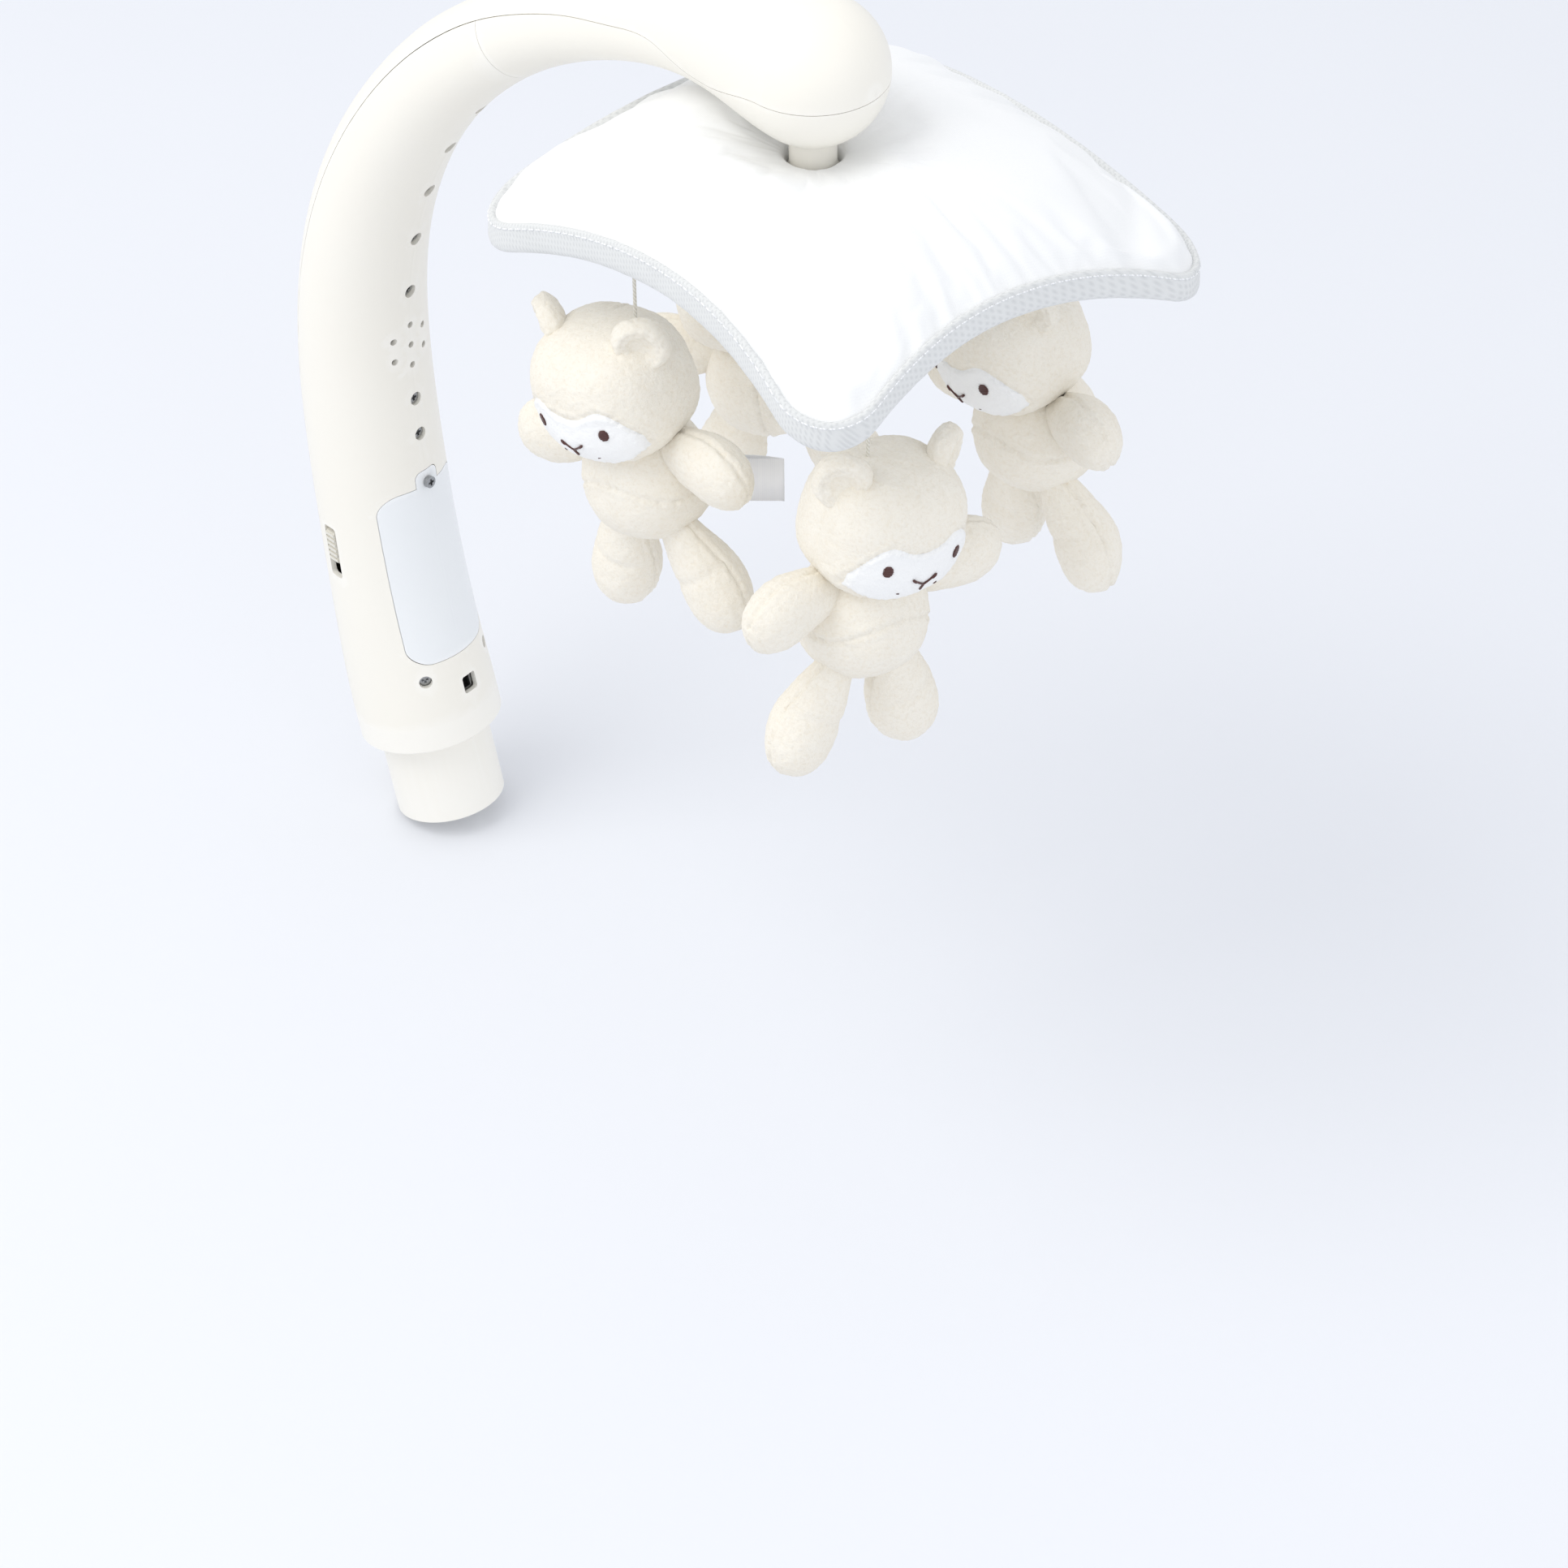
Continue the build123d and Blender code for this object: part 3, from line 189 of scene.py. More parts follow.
floorLook = {"colour": "#E9EBF0", "shade": "#E7E9EE", "half": 4000, "drop": 1.0}


def paintedFloor():
    # matt painted board: even, with a very faint mottle and no gloss
    material, tree = newMaterial("mattPaintedFloor")
    place = addNode(tree, "ShaderNodeTexCoord")
    mottle = addNode(tree, "ShaderNodeTexNoise", {"Scale": 4.0, "Detail": 2.0}, {"Vector": place.outputs["Object"]})
    tint = addNode(tree, "ShaderNodeMix", {"data_type": "RGBA", 6: linearColour(floorLook["colour"]),
                                           7: linearColour(floorLook["shade"])},
                   {0: mottle.outputs["Fac"]})
    closeMaterial(tree, {"Roughness": 0.9, "Specular IOR Level": 0.15}, {"Base Color": tint.outputs[2]})
    return material


def makeFloor():
    half = floorLook["half"]
    low = cadLow.z / mm - floorLook["drop"]
    corners = [(-half, -half, low), (half, -half, low), (half, half, low), (-half, half, low)]
    board = meshPiece("studio_floor", corners, [(0, 1, 2, 3)], paintedFloor())


makeFloor()
print("camera, light and floor done")


# materials

def mouldedPlastic(name, look):
    # ABS or acetal from a spark-eroded steel mould: an even satin that blurs each light,
    # with faint flow shading and a grain too fine to see, drawn at the coarsest it could be
    material, tree = newMaterial(name)
    place = addNode(tree, "ShaderNodeTexCoord")
    flow = addNode(tree, "ShaderNodeTexNoise", {"Scale": 1000 / look["flowMm"], "Detail": 2.0},
                   {"Vector": place.outputs["Object"]})
    tint = addNode(tree, "ShaderNodeMix", {"data_type": "RGBA", 6: linearColour(look["colour"]),
                                           7: linearColour(look["flowColour"])},
                   {0: flow.outputs["Fac"]})
    # convex edges painted lighter, found from Pointiness: a painted highlight along the edges
    edge = addNode(tree, "ShaderNodeNewGeometry")
    convexHighlight = addNode(tree, "ShaderNodeMapRange", {"From Min": 0.53, "From Max": 0.6, "To Min": 0.0, "To Max": 0.5},
                   {"Value": edge.outputs["Pointiness"]})
    highlightedTint = addNode(tree, "ShaderNodeMix", {"data_type": "RGBA", 7: linearColour(look["edgeHighlightColour"])},
                   {0: convexHighlight.outputs[0], 6: tint.outputs[2]})
    grain = addNode(tree, "ShaderNodeTexNoise", {"Scale": 1000 / look["grainMm"], "Detail": 2.0},
                    {"Vector": place.outputs["Object"]})
    gloss = addNode(tree, "ShaderNodeMapRange",
                    {"To Min": look["roughness"] - 0.04, "To Max": look["roughness"] + 0.06},
                    {"Value": flow.outputs["Fac"]})
    relief = addNode(tree, "ShaderNodeBump", {"Strength": 0.25, "Distance": look["grainMm"] * mm * 0.12},
                     {"Height": grain.outputs["Fac"]})
    closeMaterial(tree, {"IOR": 1.53},
                  {"Base Color": highlightedTint.outputs[2], "Roughness": gloss.outputs[0], "Normal": relief.outputs[0]})
    return material


def platedSteel(name, look):
    # pressed or turned steel with a thin zinc plate: grey, lightly brushed along the turn
    material, tree = newMaterial(name)
    place = addNode(tree, "ShaderNodeTexCoord")
    stretch = addNode(tree, "ShaderNodeMapping", {"Scale": (1.0, 1.0, 9.0)}, {"Vector": place.outputs["Object"]})
    brush = addNode(tree, "ShaderNodeTexNoise", {"Scale": 1000 / look["scratchMm"], "Detail": 3.0},
                    {"Vector": stretch.outputs[0]})
    tint = addNode(tree, "ShaderNodeMix", {"data_type": "RGBA", 6: linearColour(look["colour"]),
                                           7: linearColour(look["dull"])}, {0: brush.outputs["Fac"]})
    gloss = addNode(tree, "ShaderNodeMapRange", {"To Min": 0.24, "To Max": 0.46}, {"Value": brush.outputs["Fac"]})
    relief = addNode(tree, "ShaderNodeBump", {"Strength": 0.2, "Distance": 0.00003}, {"Height": brush.outputs["Fac"]})
    closeMaterial(tree, {"Metallic": 1.0},
                  {"Base Color": tint.outputs[2], "Roughness": gloss.outputs[0], "Normal": relief.outputs[0]})
    return material


def wovenCotton(name, look):
    # plain or twill cotton: threads cross at right angles, and the nap scatters light at grazing angles.
    # the threads are finer than they can show, so the weave is drawn at threadMm
    material, tree = newMaterial(name)
    place = addNode(tree, "ShaderNodeTexCoord")
    turned = addNode(tree, "ShaderNodeMapping", {"Rotation": (0.0, 0.0, math.radians(look["weaveTurn"]))},
                     {"Vector": place.outputs["Object"]})
    warp = addNode(tree, "ShaderNodeTexWave", {"bands_direction": "X", "Scale": 314 / look["threadMm"],
                                               "Distortion": 0.6, "Detail": 1.0},
                   {"Vector": turned.outputs[0]})
    weft = addNode(tree, "ShaderNodeTexWave", {"bands_direction": look["weft"], "Scale": 314 / look["threadMm"],
                                               "Distortion": 0.6, "Detail": 1.0},
                   {"Vector": turned.outputs[0]})
    weave = addNode(tree, "ShaderNodeMath", {"operation": "MULTIPLY"}, {0: warp.outputs["Fac"], 1: weft.outputs["Fac"]})
    cloud = addNode(tree, "ShaderNodeTexNoise", {"Scale": 1000 / look["cloudMm"], "Detail": 4.0},
                    {"Vector": place.outputs["Object"]})
    tint = addNode(tree, "ShaderNodeMix", {"data_type": "RGBA", 6: linearColour(look["colour"]),
                                           7: linearColour(look["shade"])}, {0: cloud.outputs["Fac"]})
    threads = addNode(tree, "ShaderNodeMapRange", {"To Min": 0.0, "To Max": look["threadShade"]},
                      {"Value": weave.outputs[0]})
    darker = addNode(tree, "ShaderNodeMix", {"data_type": "RGBA", 7: linearColour(look["gap"])},
                     {0: threads.outputs[0], 6: tint.outputs[2]})
    relief = addNode(tree, "ShaderNodeBump", {"Strength": look["relief"], "Distance": look["threadMm"] * mm * 0.2},
                     {"Height": weave.outputs[0]})
    closeMaterial(tree, {"Roughness": 0.85, "Sheen Weight": look["sheen"], "Sheen Roughness": 0.5,
                         "Specular IOR Level": 0.25},
                  {"Base Color": darker.outputs[2], "Normal": relief.outputs[0]})
    return material


def velboaPlush(name, look):
    # short-pile polyester velboa: the pile lies in soft patches, painted lighter and darker as painted sheen, and glows
    # at grazing angles;
    # it is also painted a little darker between the tufts, as painted shade deep in the pile
    material, tree = newMaterial(name)
    place = addNode(tree, "ShaderNodeTexCoord")
    nap = addNode(tree, "ShaderNodeTexNoise", {"Scale": 1000 / look["napMm"], "Detail": 3.0, "Roughness": 0.6},
                  {"Vector": place.outputs["Object"]})
    tuft = addNode(tree, "ShaderNodeTexNoise", {"Scale": 1000 / look["tuftMm"], "Detail": 3.0, "Roughness": 0.7},
                   {"Vector": place.outputs["Object"]})
    # patches painted lighter and darker: painted sheen of the pile's brushed directions
    sheenPatchTint = addNode(tree, "ShaderNodeMix", {"data_type": "RGBA", 6: linearColour(look["colour"]),
                                              7: linearColour(look["sheenPatchColour"])}, {0: nap.outputs["Fac"]})
    # darker between the tufts: painted shade deep in the pile
    gap = addNode(tree, "ShaderNodeMapRange", {"From Min": 0.52, "From Max": 0.3, "To Max": 0.35},
                  {"Value": tuft.outputs["Fac"]})
    shadedPile = addNode(tree, "ShaderNodeMix", {"data_type": "RGBA", 7: linearColour(look["pileShadeColour"])},
                   {0: gap.outputs[0], 6: sheenPatchTint.outputs[2]})
    mask = addNode(tree, "ShaderNodeAttribute", {"attribute_name": "faceMask"})
    edge = addNode(tree, "ShaderNodeMapRange", {"From Min": 0.42, "From Max": 0.58}, {"Value": mask.outputs["Fac"]})
    white = addNode(tree, "ShaderNodeMix", {"data_type": "RGBA", 7: linearColour(look["faceColour"])},
                    {0: edge.outputs[0], 6: shadedPile.outputs[2]})
    relief = addNode(tree, "ShaderNodeBump", {"Strength": 0.7, "Distance": look["tuftMm"] * mm * 0.5},
                     {"Height": tuft.outputs["Fac"]})
    closeMaterial(tree, {"Roughness": 0.95, "Sheen Weight": look["sheen"], "Sheen Roughness": 0.35,
                         "Sheen Tint": linearColour(look["sheenColour"]), "Specular IOR Level": 0.1},
                  {"Base Color": white.outputs[2], "Normal": relief.outputs[0]})
    return material


def spunThread(name, look):
    # twisted or embroidered thread: a slight lustre broken up by the ply
    material, tree = newMaterial(name)
    place = addNode(tree, "ShaderNodeTexCoord")
    ply = addNode(tree, "ShaderNodeTexWave", {"bands_direction": "DIAGONAL", "Scale": 314 / look["plyMm"],
                                              "Distortion": 1.0}, {"Vector": place.outputs["Object"]})
    tint = addNode(tree, "ShaderNodeMix", {"data_type": "RGBA", 6: linearColour(look["colour"]),
                                           7: linearColour(look["shade"])}, {0: ply.outputs["Fac"]})
    relief = addNode(tree, "ShaderNodeBump", {"Strength": 0.5, "Distance": 0.0001}, {"Height": ply.outputs["Fac"]})
    closeMaterial(tree, {"Roughness": look["roughness"], "Sheen Weight": 0.2},
                  {"Base Color": tint.outputs[2], "Normal": relief.outputs[0]})
    return material


mouldedCream = mouldedPlastic("mouldedCreamAbs", {"colour": "#F6F3EA", "flowColour": "#F4F0E6", "edgeHighlightColour": "#FBF9F3",
                                                  "flowMm": 60, "grainMm": 0.6, "roughness": 0.36})
mouldedWhite = mouldedPlastic("mouldedWhiteAbs", {"colour": "#F1F3F4", "flowColour": "#EDF0F2", "edgeHighlightColour": "#FAFBFC",
                                                  "flowMm": 50, "grainMm": 0.6, "roughness": 0.34})
mouldedKnob = mouldedPlastic("mouldedKnobAbs", {"colour": "#DAD6CA", "flowColour": "#D2CEC2", "edgeHighlightColour": "#EAE7DE",
                                                "flowMm": 8, "grainMm": 0.4, "roughness": 0.42})
mouldedInner = mouldedPlastic("mouldedInnerAbs", {"colour": "#D2D2CC", "flowColour": "#C9C9C3", "edgeHighlightColour": "#E0E0DA",
                                                  "flowMm": 30, "grainMm": 0.6, "roughness": 0.45})
acetalGear = mouldedPlastic("machinedAcetal", {"colour": "#F1F0E8", "flowColour": "#E9E8DE", "edgeHighlightColour": "#FFFFFF",
                                               "flowMm": 6, "grainMm": 0.4, "roughness": 0.4})
sprayedCone = mouldedPlastic("blackPaperCone", {"colour": "#141414", "flowColour": "#0C0C0C", "edgeHighlightColour": "#2A2A2A",
                                                "flowMm": 5, "grainMm": 0.5, "roughness": 0.7})
solderMask = mouldedPlastic("greenSolderMask", {"colour": "#1C5A34", "flowColour": "#164A2A", "edgeHighlightColour": "#C9B26A",
                                                "flowMm": 6, "grainMm": 0.4, "roughness": 0.35})
epoxyChip = mouldedPlastic("blackMouldedEpoxy", {"colour": "#1A1A1C", "flowColour": "#121214", "edgeHighlightColour": "#3A3A3C",
                                                 "flowMm": 4, "grainMm": 0.3, "roughness": 0.5})
shrinkWrap = mouldedPlastic("printedShrinkWrap", {"colour": "#5B6470", "flowColour": "#4D5661", "edgeHighlightColour": "#B9BDC2",
                                                  "flowMm": 18, "grainMm": 0.8, "roughness": 0.22})
pvcLead = mouldedPlastic("extrudedPvc", {"colour": "#B2382C", "flowColour": "#A12F25", "edgeHighlightColour": "#C85A4C",
                                         "flowMm": 12, "grainMm": 0.4, "roughness": 0.38})
zincScrew = platedSteel("zincPlatedSteel", {"colour": "#B9BABB", "dull": "#8F9091", "scratchMm": 0.5})
motorCan = platedSteel("pressedSteelCan", {"colour": "#A9ABAD", "dull": "#7F8183", "scratchMm": 0.9})
cottonPercale = wovenCotton("whiteCottonPercale", {"colour": "#F7F7F7", "shade": "#F2F3F3", "gap": "#E4E6E8",
                                                   "threadMm": 0.7, "weft": "Y", "weaveTurn": 20, "cloudMm": 22,
                                                   "threadShade": 0.12, "relief": 0.15, "sheen": 0.2})
cottonTwill = wovenCotton("greyWhiteCottonTwill", {"colour": "#E6E7E6", "shade": "#DEDFDE", "gap": "#C6C8C8",
                                                   "threadMm": 1.3, "weft": "DIAGONAL", "weaveTurn": 33, "cloudMm": 9,
                                                   "threadShade": 0.45, "relief": 0.5, "sheen": 0.15})
satinTape = wovenCotton("whitePolyesterSatin", {"colour": "#FBFBFC", "shade": "#F2F3F6", "gap": "#E2E4EA",
                                                "threadMm": 0.5, "weft": "Y", "weaveTurn": 0, "cloudMm": 8,
                                                "threadShade": 0.3, "relief": 0.2, "sheen": 0.4})
creamPlush = velboaPlush("creamVelboaPlush", {"colour": "#F8F4EA", "sheenPatchColour": "#F2EBDD", "pileShadeColour": "#E6DAC4",
                                              "faceColour": "#F9F9F8", "sheenColour": "#FFFAF0", "napMm": 9,
                                              "tuftMm": 1.5, "sheen": 0.2})
whiteThread = spunThread("whiteCottonThread", {"colour": "#FCFCFC", "shade": "#E4E6E8", "plyMm": 0.8, "roughness": 0.6})
brownThread = spunThread("brownRayonThread", {"colour": "#5A2A22", "shade": "#3A1813", "plyMm": 0.5, "roughness": 0.45})
twistedCord = spunThread("twistedNylonCord", {"colour": "#F1EFE8", "shade": "#D9D5C8", "plyMm": 0.9, "roughness": 0.5})

finishes = {
    mouldedCream: ["arm_front_shell", "arm_back_shell", "neck_bottom_shell", "base_collar", "rail_plug", "canopy_hub"],
    mouldedWhite: ["battery_door"],
    mouldedKnob: ["switch_knob"],
    mouldedInner: ["battery_tray", "gearbox_base", "gearbox_cover", "switch_body", "canopy_frame"],
    acetalGear: ["output_gear", "compound_gear", "motor_pinion"],
    zincScrew: ["shell_screws", "base_screws", "door_screw", "gearbox_screws", "hub_screw", "gear_axle",
                "motor_shaft", "output_shaft", "battery_contacts", "usb_socket"],
    motorCan: ["motor"], shrinkWrap: ["battery_cells"], solderMask: ["circuit_board"],
    epoxyChip: ["board_components"], sprayedCone: ["speaker"], pvcLead: ["motor_lead", "battery_lead"],
}
for material, names in finishes.items():
    for name in names:
        nodes[name].data.materials.clear()
        nodes[name].data.materials.append(material)
print("materials done")


# canopy: a stuffed star between two cotton faces, gathered into a bound edge
canopy = {"dimpleRadius": 35, "dimpleDepth": 4, "fall": 41, "reach": 136, "power": 1.6, "holeRadius": 10.2,
          "spread": 0.045,
          "thickness": 10, "spokes": 256, "topRings": 52, "underRings": 22, "tuck": 2.2, "puff": 2.6,
          "gather": 1.1, "gatherReach": 26, "seed": 4.7,
          "cloth": {"frames": 18, "pressure": 3.2, "stretch": -0.035, "cap": 5.0}}


def canopyOutline(count):
    # distance from the star's middle to its edge at evenly spaced directions, from the binding's solid
    low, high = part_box("canopy_pad")
    middle = np.array([0.5 * (low.x + high.x), 0.5 * (low.y + high.y)]) / mm
    mesh = nodes["canopy_binding"].data
    points = np.array([v.co[:2] for v in mesh.vertices]) / mm - middle
    ends = np.array([e.vertices[:] for e in mesh.edges])
    a = points[ends[:, 0]]
    b = points[ends[:, 1]]
    radii = []
    for turn in np.linspace(0, 2 * math.pi, count, endpoint=False):
        along = np.array([math.cos(turn), math.sin(turn)])
        sideA = a[:, 0] * along[1] - a[:, 1] * along[0]
        sideB = b[:, 0] * along[1] - b[:, 1] * along[0]
        crosses = (sideA * sideB <= 0) & (np.abs(sideA - sideB) > 1e-9)
        share = sideA[crosses] / (sideA[crosses] - sideB[crosses])
        reach = (a[crosses] + (b[crosses] - a[crosses]) * share[:, None]) @ along
        radii.append(reach.max())
    radii = np.array(radii)
    for _ in range(2):
        radii = 0.25 * np.roll(radii, 1) + 0.5 * radii + 0.25 * np.roll(radii, -1)
    # the stuffing pushes two of the corners out
    radii *= 1 + canopy["spread"] * np.cos(np.linspace(0, 2 * math.pi, count, endpoint=False) - math.radians(36)) ** 2
    return middle, radii


hubPlace = np.array([0.5 * (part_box("canopy_hub")[0].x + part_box("canopy_hub")[1].x),
                     0.5 * (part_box("canopy_hub")[0].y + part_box("canopy_hub")[1].y)]) / mm
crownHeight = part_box("canopy_pad")[1].z / mm


def crownDrop(radius):
    inside = canopy["dimpleDepth"] * ((canopy["dimpleRadius"] - radius) / 23) ** 2
    share = np.maximum(radius - canopy["dimpleRadius"], 0) / (canopy["reach"] - canopy["dimpleRadius"])
    return np.where(radius < canopy["dimpleRadius"], inside, canopy["fall"] * share ** canopy["power"])


def edgeLine(inset, count):
    # points along the star's edge, drawn in by inset, with the outward direction at each
    middle, radii = canopyOutline(count)
    turns = np.linspace(0, 2 * math.pi, count, endpoint=False)
    line = middle + radii[:, None] * np.stack([np.cos(turns), np.sin(turns)], 1)
    along = np.roll(line, -1, 0) - np.roll(line, 1, 0)
    along /= np.linalg.norm(along, axis=1)[:, None]
    out = np.stack([along[:, 1], -along[:, 0]], 1)
    return line - inset * out, out


def padShape():
    count = canopy["spokes"]
    edge, out = edgeLine(canopy["tuck"], count)
    turns = np.linspace(0, 2 * math.pi, count, endpoint=False)
    hole = hubPlace + canopy["holeRadius"] * np.stack([np.cos(turns), np.sin(turns)], 1)
    length = np.concatenate([[0], np.cumsum(np.linalg.norm(np.diff(edge, axis=0), axis=1))])
    top, under = [], []
    for ring in range(canopy["topRings"]):
        share = (ring / (canopy["topRings"] - 1)) ** 0.86
        flat = hole + (edge - hole) * share
        fromHub = np.linalg.norm(flat - hubPlace, axis=1)
        fromEdge = np.linalg.norm(edge - flat, axis=1)
        height = crownHeight - crownDrop(fromHub)
        height += canopy["puff"] * np.sin(math.pi * min(share, 1)) ** 0.7
        height -= 3.4 * (1 - smoothstep(0, 9, fromEdge)) ** 1.5
        height += gathers(length, fromEdge)
        top.append(np.column_stack([flat, height]))
    for ring in range(canopy["underRings"]):
        share = 1 - ring / (canopy["underRings"] - 1)
        flat = hole + (edge - hole) * share
        fromHub = np.linalg.norm(flat - hubPlace, axis=1)
        fromEdge = np.linalg.norm(edge - flat, axis=1)
        height = crownHeight - crownDrop(fromHub) - canopy["thickness"] * smoothstep(-3, 14, fromEdge) - 3.4
        height += 0.5 * gathers(length, fromEdge)
        under.append(np.column_stack([flat, np.minimum(height, top[-1][:, 2] - 0.8) if ring == 0 else height]))
    points = np.concatenate(top + under)
    faces = ringFaces(canopy["topRings"] + canopy["underRings"], count)
    last = (canopy["topRings"] + canopy["underRings"] - 1) * count
    faces += [(last + j, last + (j + 1) % count, (j + 1) % count, j) for j in range(count)]
    return points, [face[::-1] for face in faces]


def gathers(length, fromEdge):
    # soft folds that start at the seam, where the cotton is eased into the binding
    lift = []
    for s, d in zip(length, fromEdge):
        reach = canopy["gatherReach"] * (0.75 + 0.6 * noise.noise(Vector((s / 23, 8.1, canopy["seed"]))))
        ridge = noise.noise(Vector((s / 8.5, d / 90, canopy["seed"])))
        small = noise.noise(Vector((s / 3.4, d / 40, 2 * canopy["seed"])))
        slow = noise.noise(Vector((s / 60, d / 55, 3 * canopy["seed"])))
        lift.append(canopy["gather"] * (1.5 * ridge * math.exp(-d / max(reach, 6)) + 0.7 * small * math.exp(-d / 7)
                                        + 1.2 * slow * math.exp(-((d - 45) / 35) ** 2)))
    return np.array(lift)


def inflate(piece, pinned, look):
    # lets the two faces swell between their seams, as cloth
    group = piece.vertex_groups.new(name="seams")
    group.add(pinned, 1.0, "REPLACE")
    rest = np.array([v.co for v in piece.data.vertices])
    modifier = piece.modifiers.new("cloth", "CLOTH")
    cloth = modifier.settings
    cloth.vertex_group_mass = "seams"
    cloth.use_pressure = True
    cloth.uniform_pressure_force = look["pressure"]
    cloth.shrink_min = look["stretch"]
    cloth.shrink_max = look["stretch"]
    cloth.quality = 6
    cloth.mass = 0.15
    cloth.tension_stiffness = 12
    cloth.compression_stiffness = 12
    cloth.shear_stiffness = 4
    cloth.bending_stiffness = 0.4
    cloth.effector_weights.gravity = 0
    modifier.collision_settings.use_collision = False
    modifier.point_cache.frame_start = 1
    modifier.point_cache.frame_end = look["frames"]
    for step in range(1, look["frames"] + 1):
        scene.frame_set(step)
    bpy.context.view_layer.update()
    shown = piece.evaluated_get(bpy.context.evaluated_depsgraph_get())
    moved = np.array([v.co for v in shown.data.vertices])
    piece.modifiers.remove(modifier)
    scene.frame_set(1)
    shift = moved - rest
    far = np.linalg.norm(shift, axis=1)
    cap = look["cap"] * mm
    scale = np.where(far > 1e-9, cap * np.tanh(far / cap) / np.maximum(far, 1e-9), 0)
    piece.data.vertices.foreach_set("co", (rest + shift * scale[:, None]).ravel())
    piece.data.update()
    print(piece.name, "swelled by up to", round(1000 * float((far * scale).max()), 1), "mm")


def refine(piece, levels):
    # one round of subdivision, applied
    modifier = piece.modifiers.new("smooth", "SUBSURF")
    modifier.levels = levels
    modifier.render_levels = levels
    shown = piece.evaluated_get(bpy.context.evaluated_depsgraph_get())
    fine = bpy.data.meshes.new_from_object(shown)
    piece.modifiers.remove(modifier)
    piece.data = fine


def makePad():
    points, faces = padShape()
    piece = meshPiece("canopy_pad_cotton", points, faces, cottonPercale)
    count = canopy["spokes"]
    rings = canopy["topRings"] + canopy["underRings"]
    held = [0, canopy["topRings"] - 1, canopy["topRings"], rings - 1]
    pinned = [ring * count + j for ring in held for j in range(count)]
    inflate(piece, pinned, canopy["cloth"])
    refine(piece, 1)
    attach(piece, "canopy")
    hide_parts("canopy_pad")


makePad()

# binding: a twill strip folded over the pad's edge and stitched through near its top
binding = {"count": 900, "pucker": 0.16, "puckerMm": 3.4, "stitchDrop": 2.4, "stitchLength": 2.3,
           "stitchPitch": 3.3, "stitchRadius": 0.34,
           "section": [(-1.9, -0.6), (-0.9, -0.5), (-0.25, -1.1), (0.05, -2.4), (0.1, -4.5), (0.35, -7.5),
                       (0.4, -10.2), (0.0, -12.0), (-0.9, -13.0), (-2.4, -13.4), (-3.9, -13.0), (-4.8, -11.8),
                       (-5.1, -9.0), (-5.0, -5.5), (-4.4, -3.4), (-3.2, -2.4)]}


def makeBinding():
    count = binding["count"]
    line, out = edgeLine(0, count)
    fromHub = np.linalg.norm(line - hubPlace, axis=1)
    height = crownHeight - crownDrop(fromHub)
    length = np.concatenate([[0], np.cumsum(np.linalg.norm(np.diff(line, axis=0), axis=1))])
    rows = []
    for n, z in binding["section"]:
        pucker = np.array([noise.noise(Vector(((s + 0.9 * z) / binding["puckerMm"], z / 9, 9.3))) for s in length])
        wave = np.array([noise.noise(Vector((s / 28, 1.7, 5.1))) for s in length])
        reach = n + binding["pucker"] * pucker * (1 if n > -2 else 0.5)
        rows.append(np.column_stack([line + reach[:, None] * out, height + z + 0.5 * wave * min(1, -z / 8)]))
    points = np.concatenate(rows)
    faces = ringFaces(len(rows), count)
    last = (len(rows) - 1) * count
    faces += [(last + j, last + (j + 1) % count, (j + 1) % count, j) for j in range(count)]
    strip = meshPiece("canopy_binding_twill", points, faces, cottonTwill)
    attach(strip, "canopy")
    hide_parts("canopy_binding")
    makeStitches("binding_stitches", line, out, height, length)


def capsule(start, end, radius, sides=6):
    # a short stitch of thread, round at both ends
    start = np.array(start)
    end = np.array(end)
    along = (end - start) / np.linalg.norm(end - start)
    side = np.cross(along, [0.0, 0.0, 1.0])
    if np.linalg.norm(side) < 0.1:
        side = np.cross(along, [1.0, 0.0, 0.0])
    side /= np.linalg.norm(side)
    over = np.cross(along, side)
    points = [start - radius * along]
    for share, size in ((0.0, 0.75), (0.18, 1.0), (0.82, 1.0), (1.0, 0.75)):
        here = start + (end - start) * share
        for k in range(sides):
            turn = 2 * math.pi * k / sides
            points.append(here + size * radius * (math.cos(turn) * side + math.sin(turn) * over))
    points.append(end + radius * along)
    faces = [(0, 1 + (k + 1) % sides, 1 + k) for k in range(sides)]
    for ring in range(3):
        first = 1 + ring * sides
        faces += [(first + k, first + (k + 1) % sides, first + sides + (k + 1) % sides, first + sides + k)
                  for k in range(sides)]
    last = 1 + 3 * sides
    tip = last + sides
    faces += [(last + k, last + (k + 1) % sides, tip) for k in range(sides)]
    return points, faces


def makeStitches(name, line, out, height, length):
    whole = length[-1] + np.linalg.norm(line[0] - line[-1])
    closed = np.append(length, whole)
    x = np.append(line[:, 0] + 0.12 * out[:, 0], line[0, 0] + 0.12 * out[0, 0])
    y = np.append(line[:, 1] + 0.12 * out[:, 1], line[0, 1] + 0.12 * out[0, 1])
    z = np.append(height, height[0]) - binding["stitchDrop"]
    points, faces = [], []
    number = int(whole / binding["stitchPitch"])
    for k in range(number):
        ends = []
        for s in (k * whole / number, k * whole / number + binding["stitchLength"]):
            ends.append([np.interp(s, closed, axis) for axis in (x, y, z)])
        morePoints, moreFaces = capsule(ends[0], ends[1], binding["stitchRadius"])
        faces += [tuple(i + len(points) for i in face) for face in moreFaces]
        points += morePoints
    piece = meshPiece(name, points, faces, whiteThread)
    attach(piece, "canopy")


makeBinding()
print("canopy done")


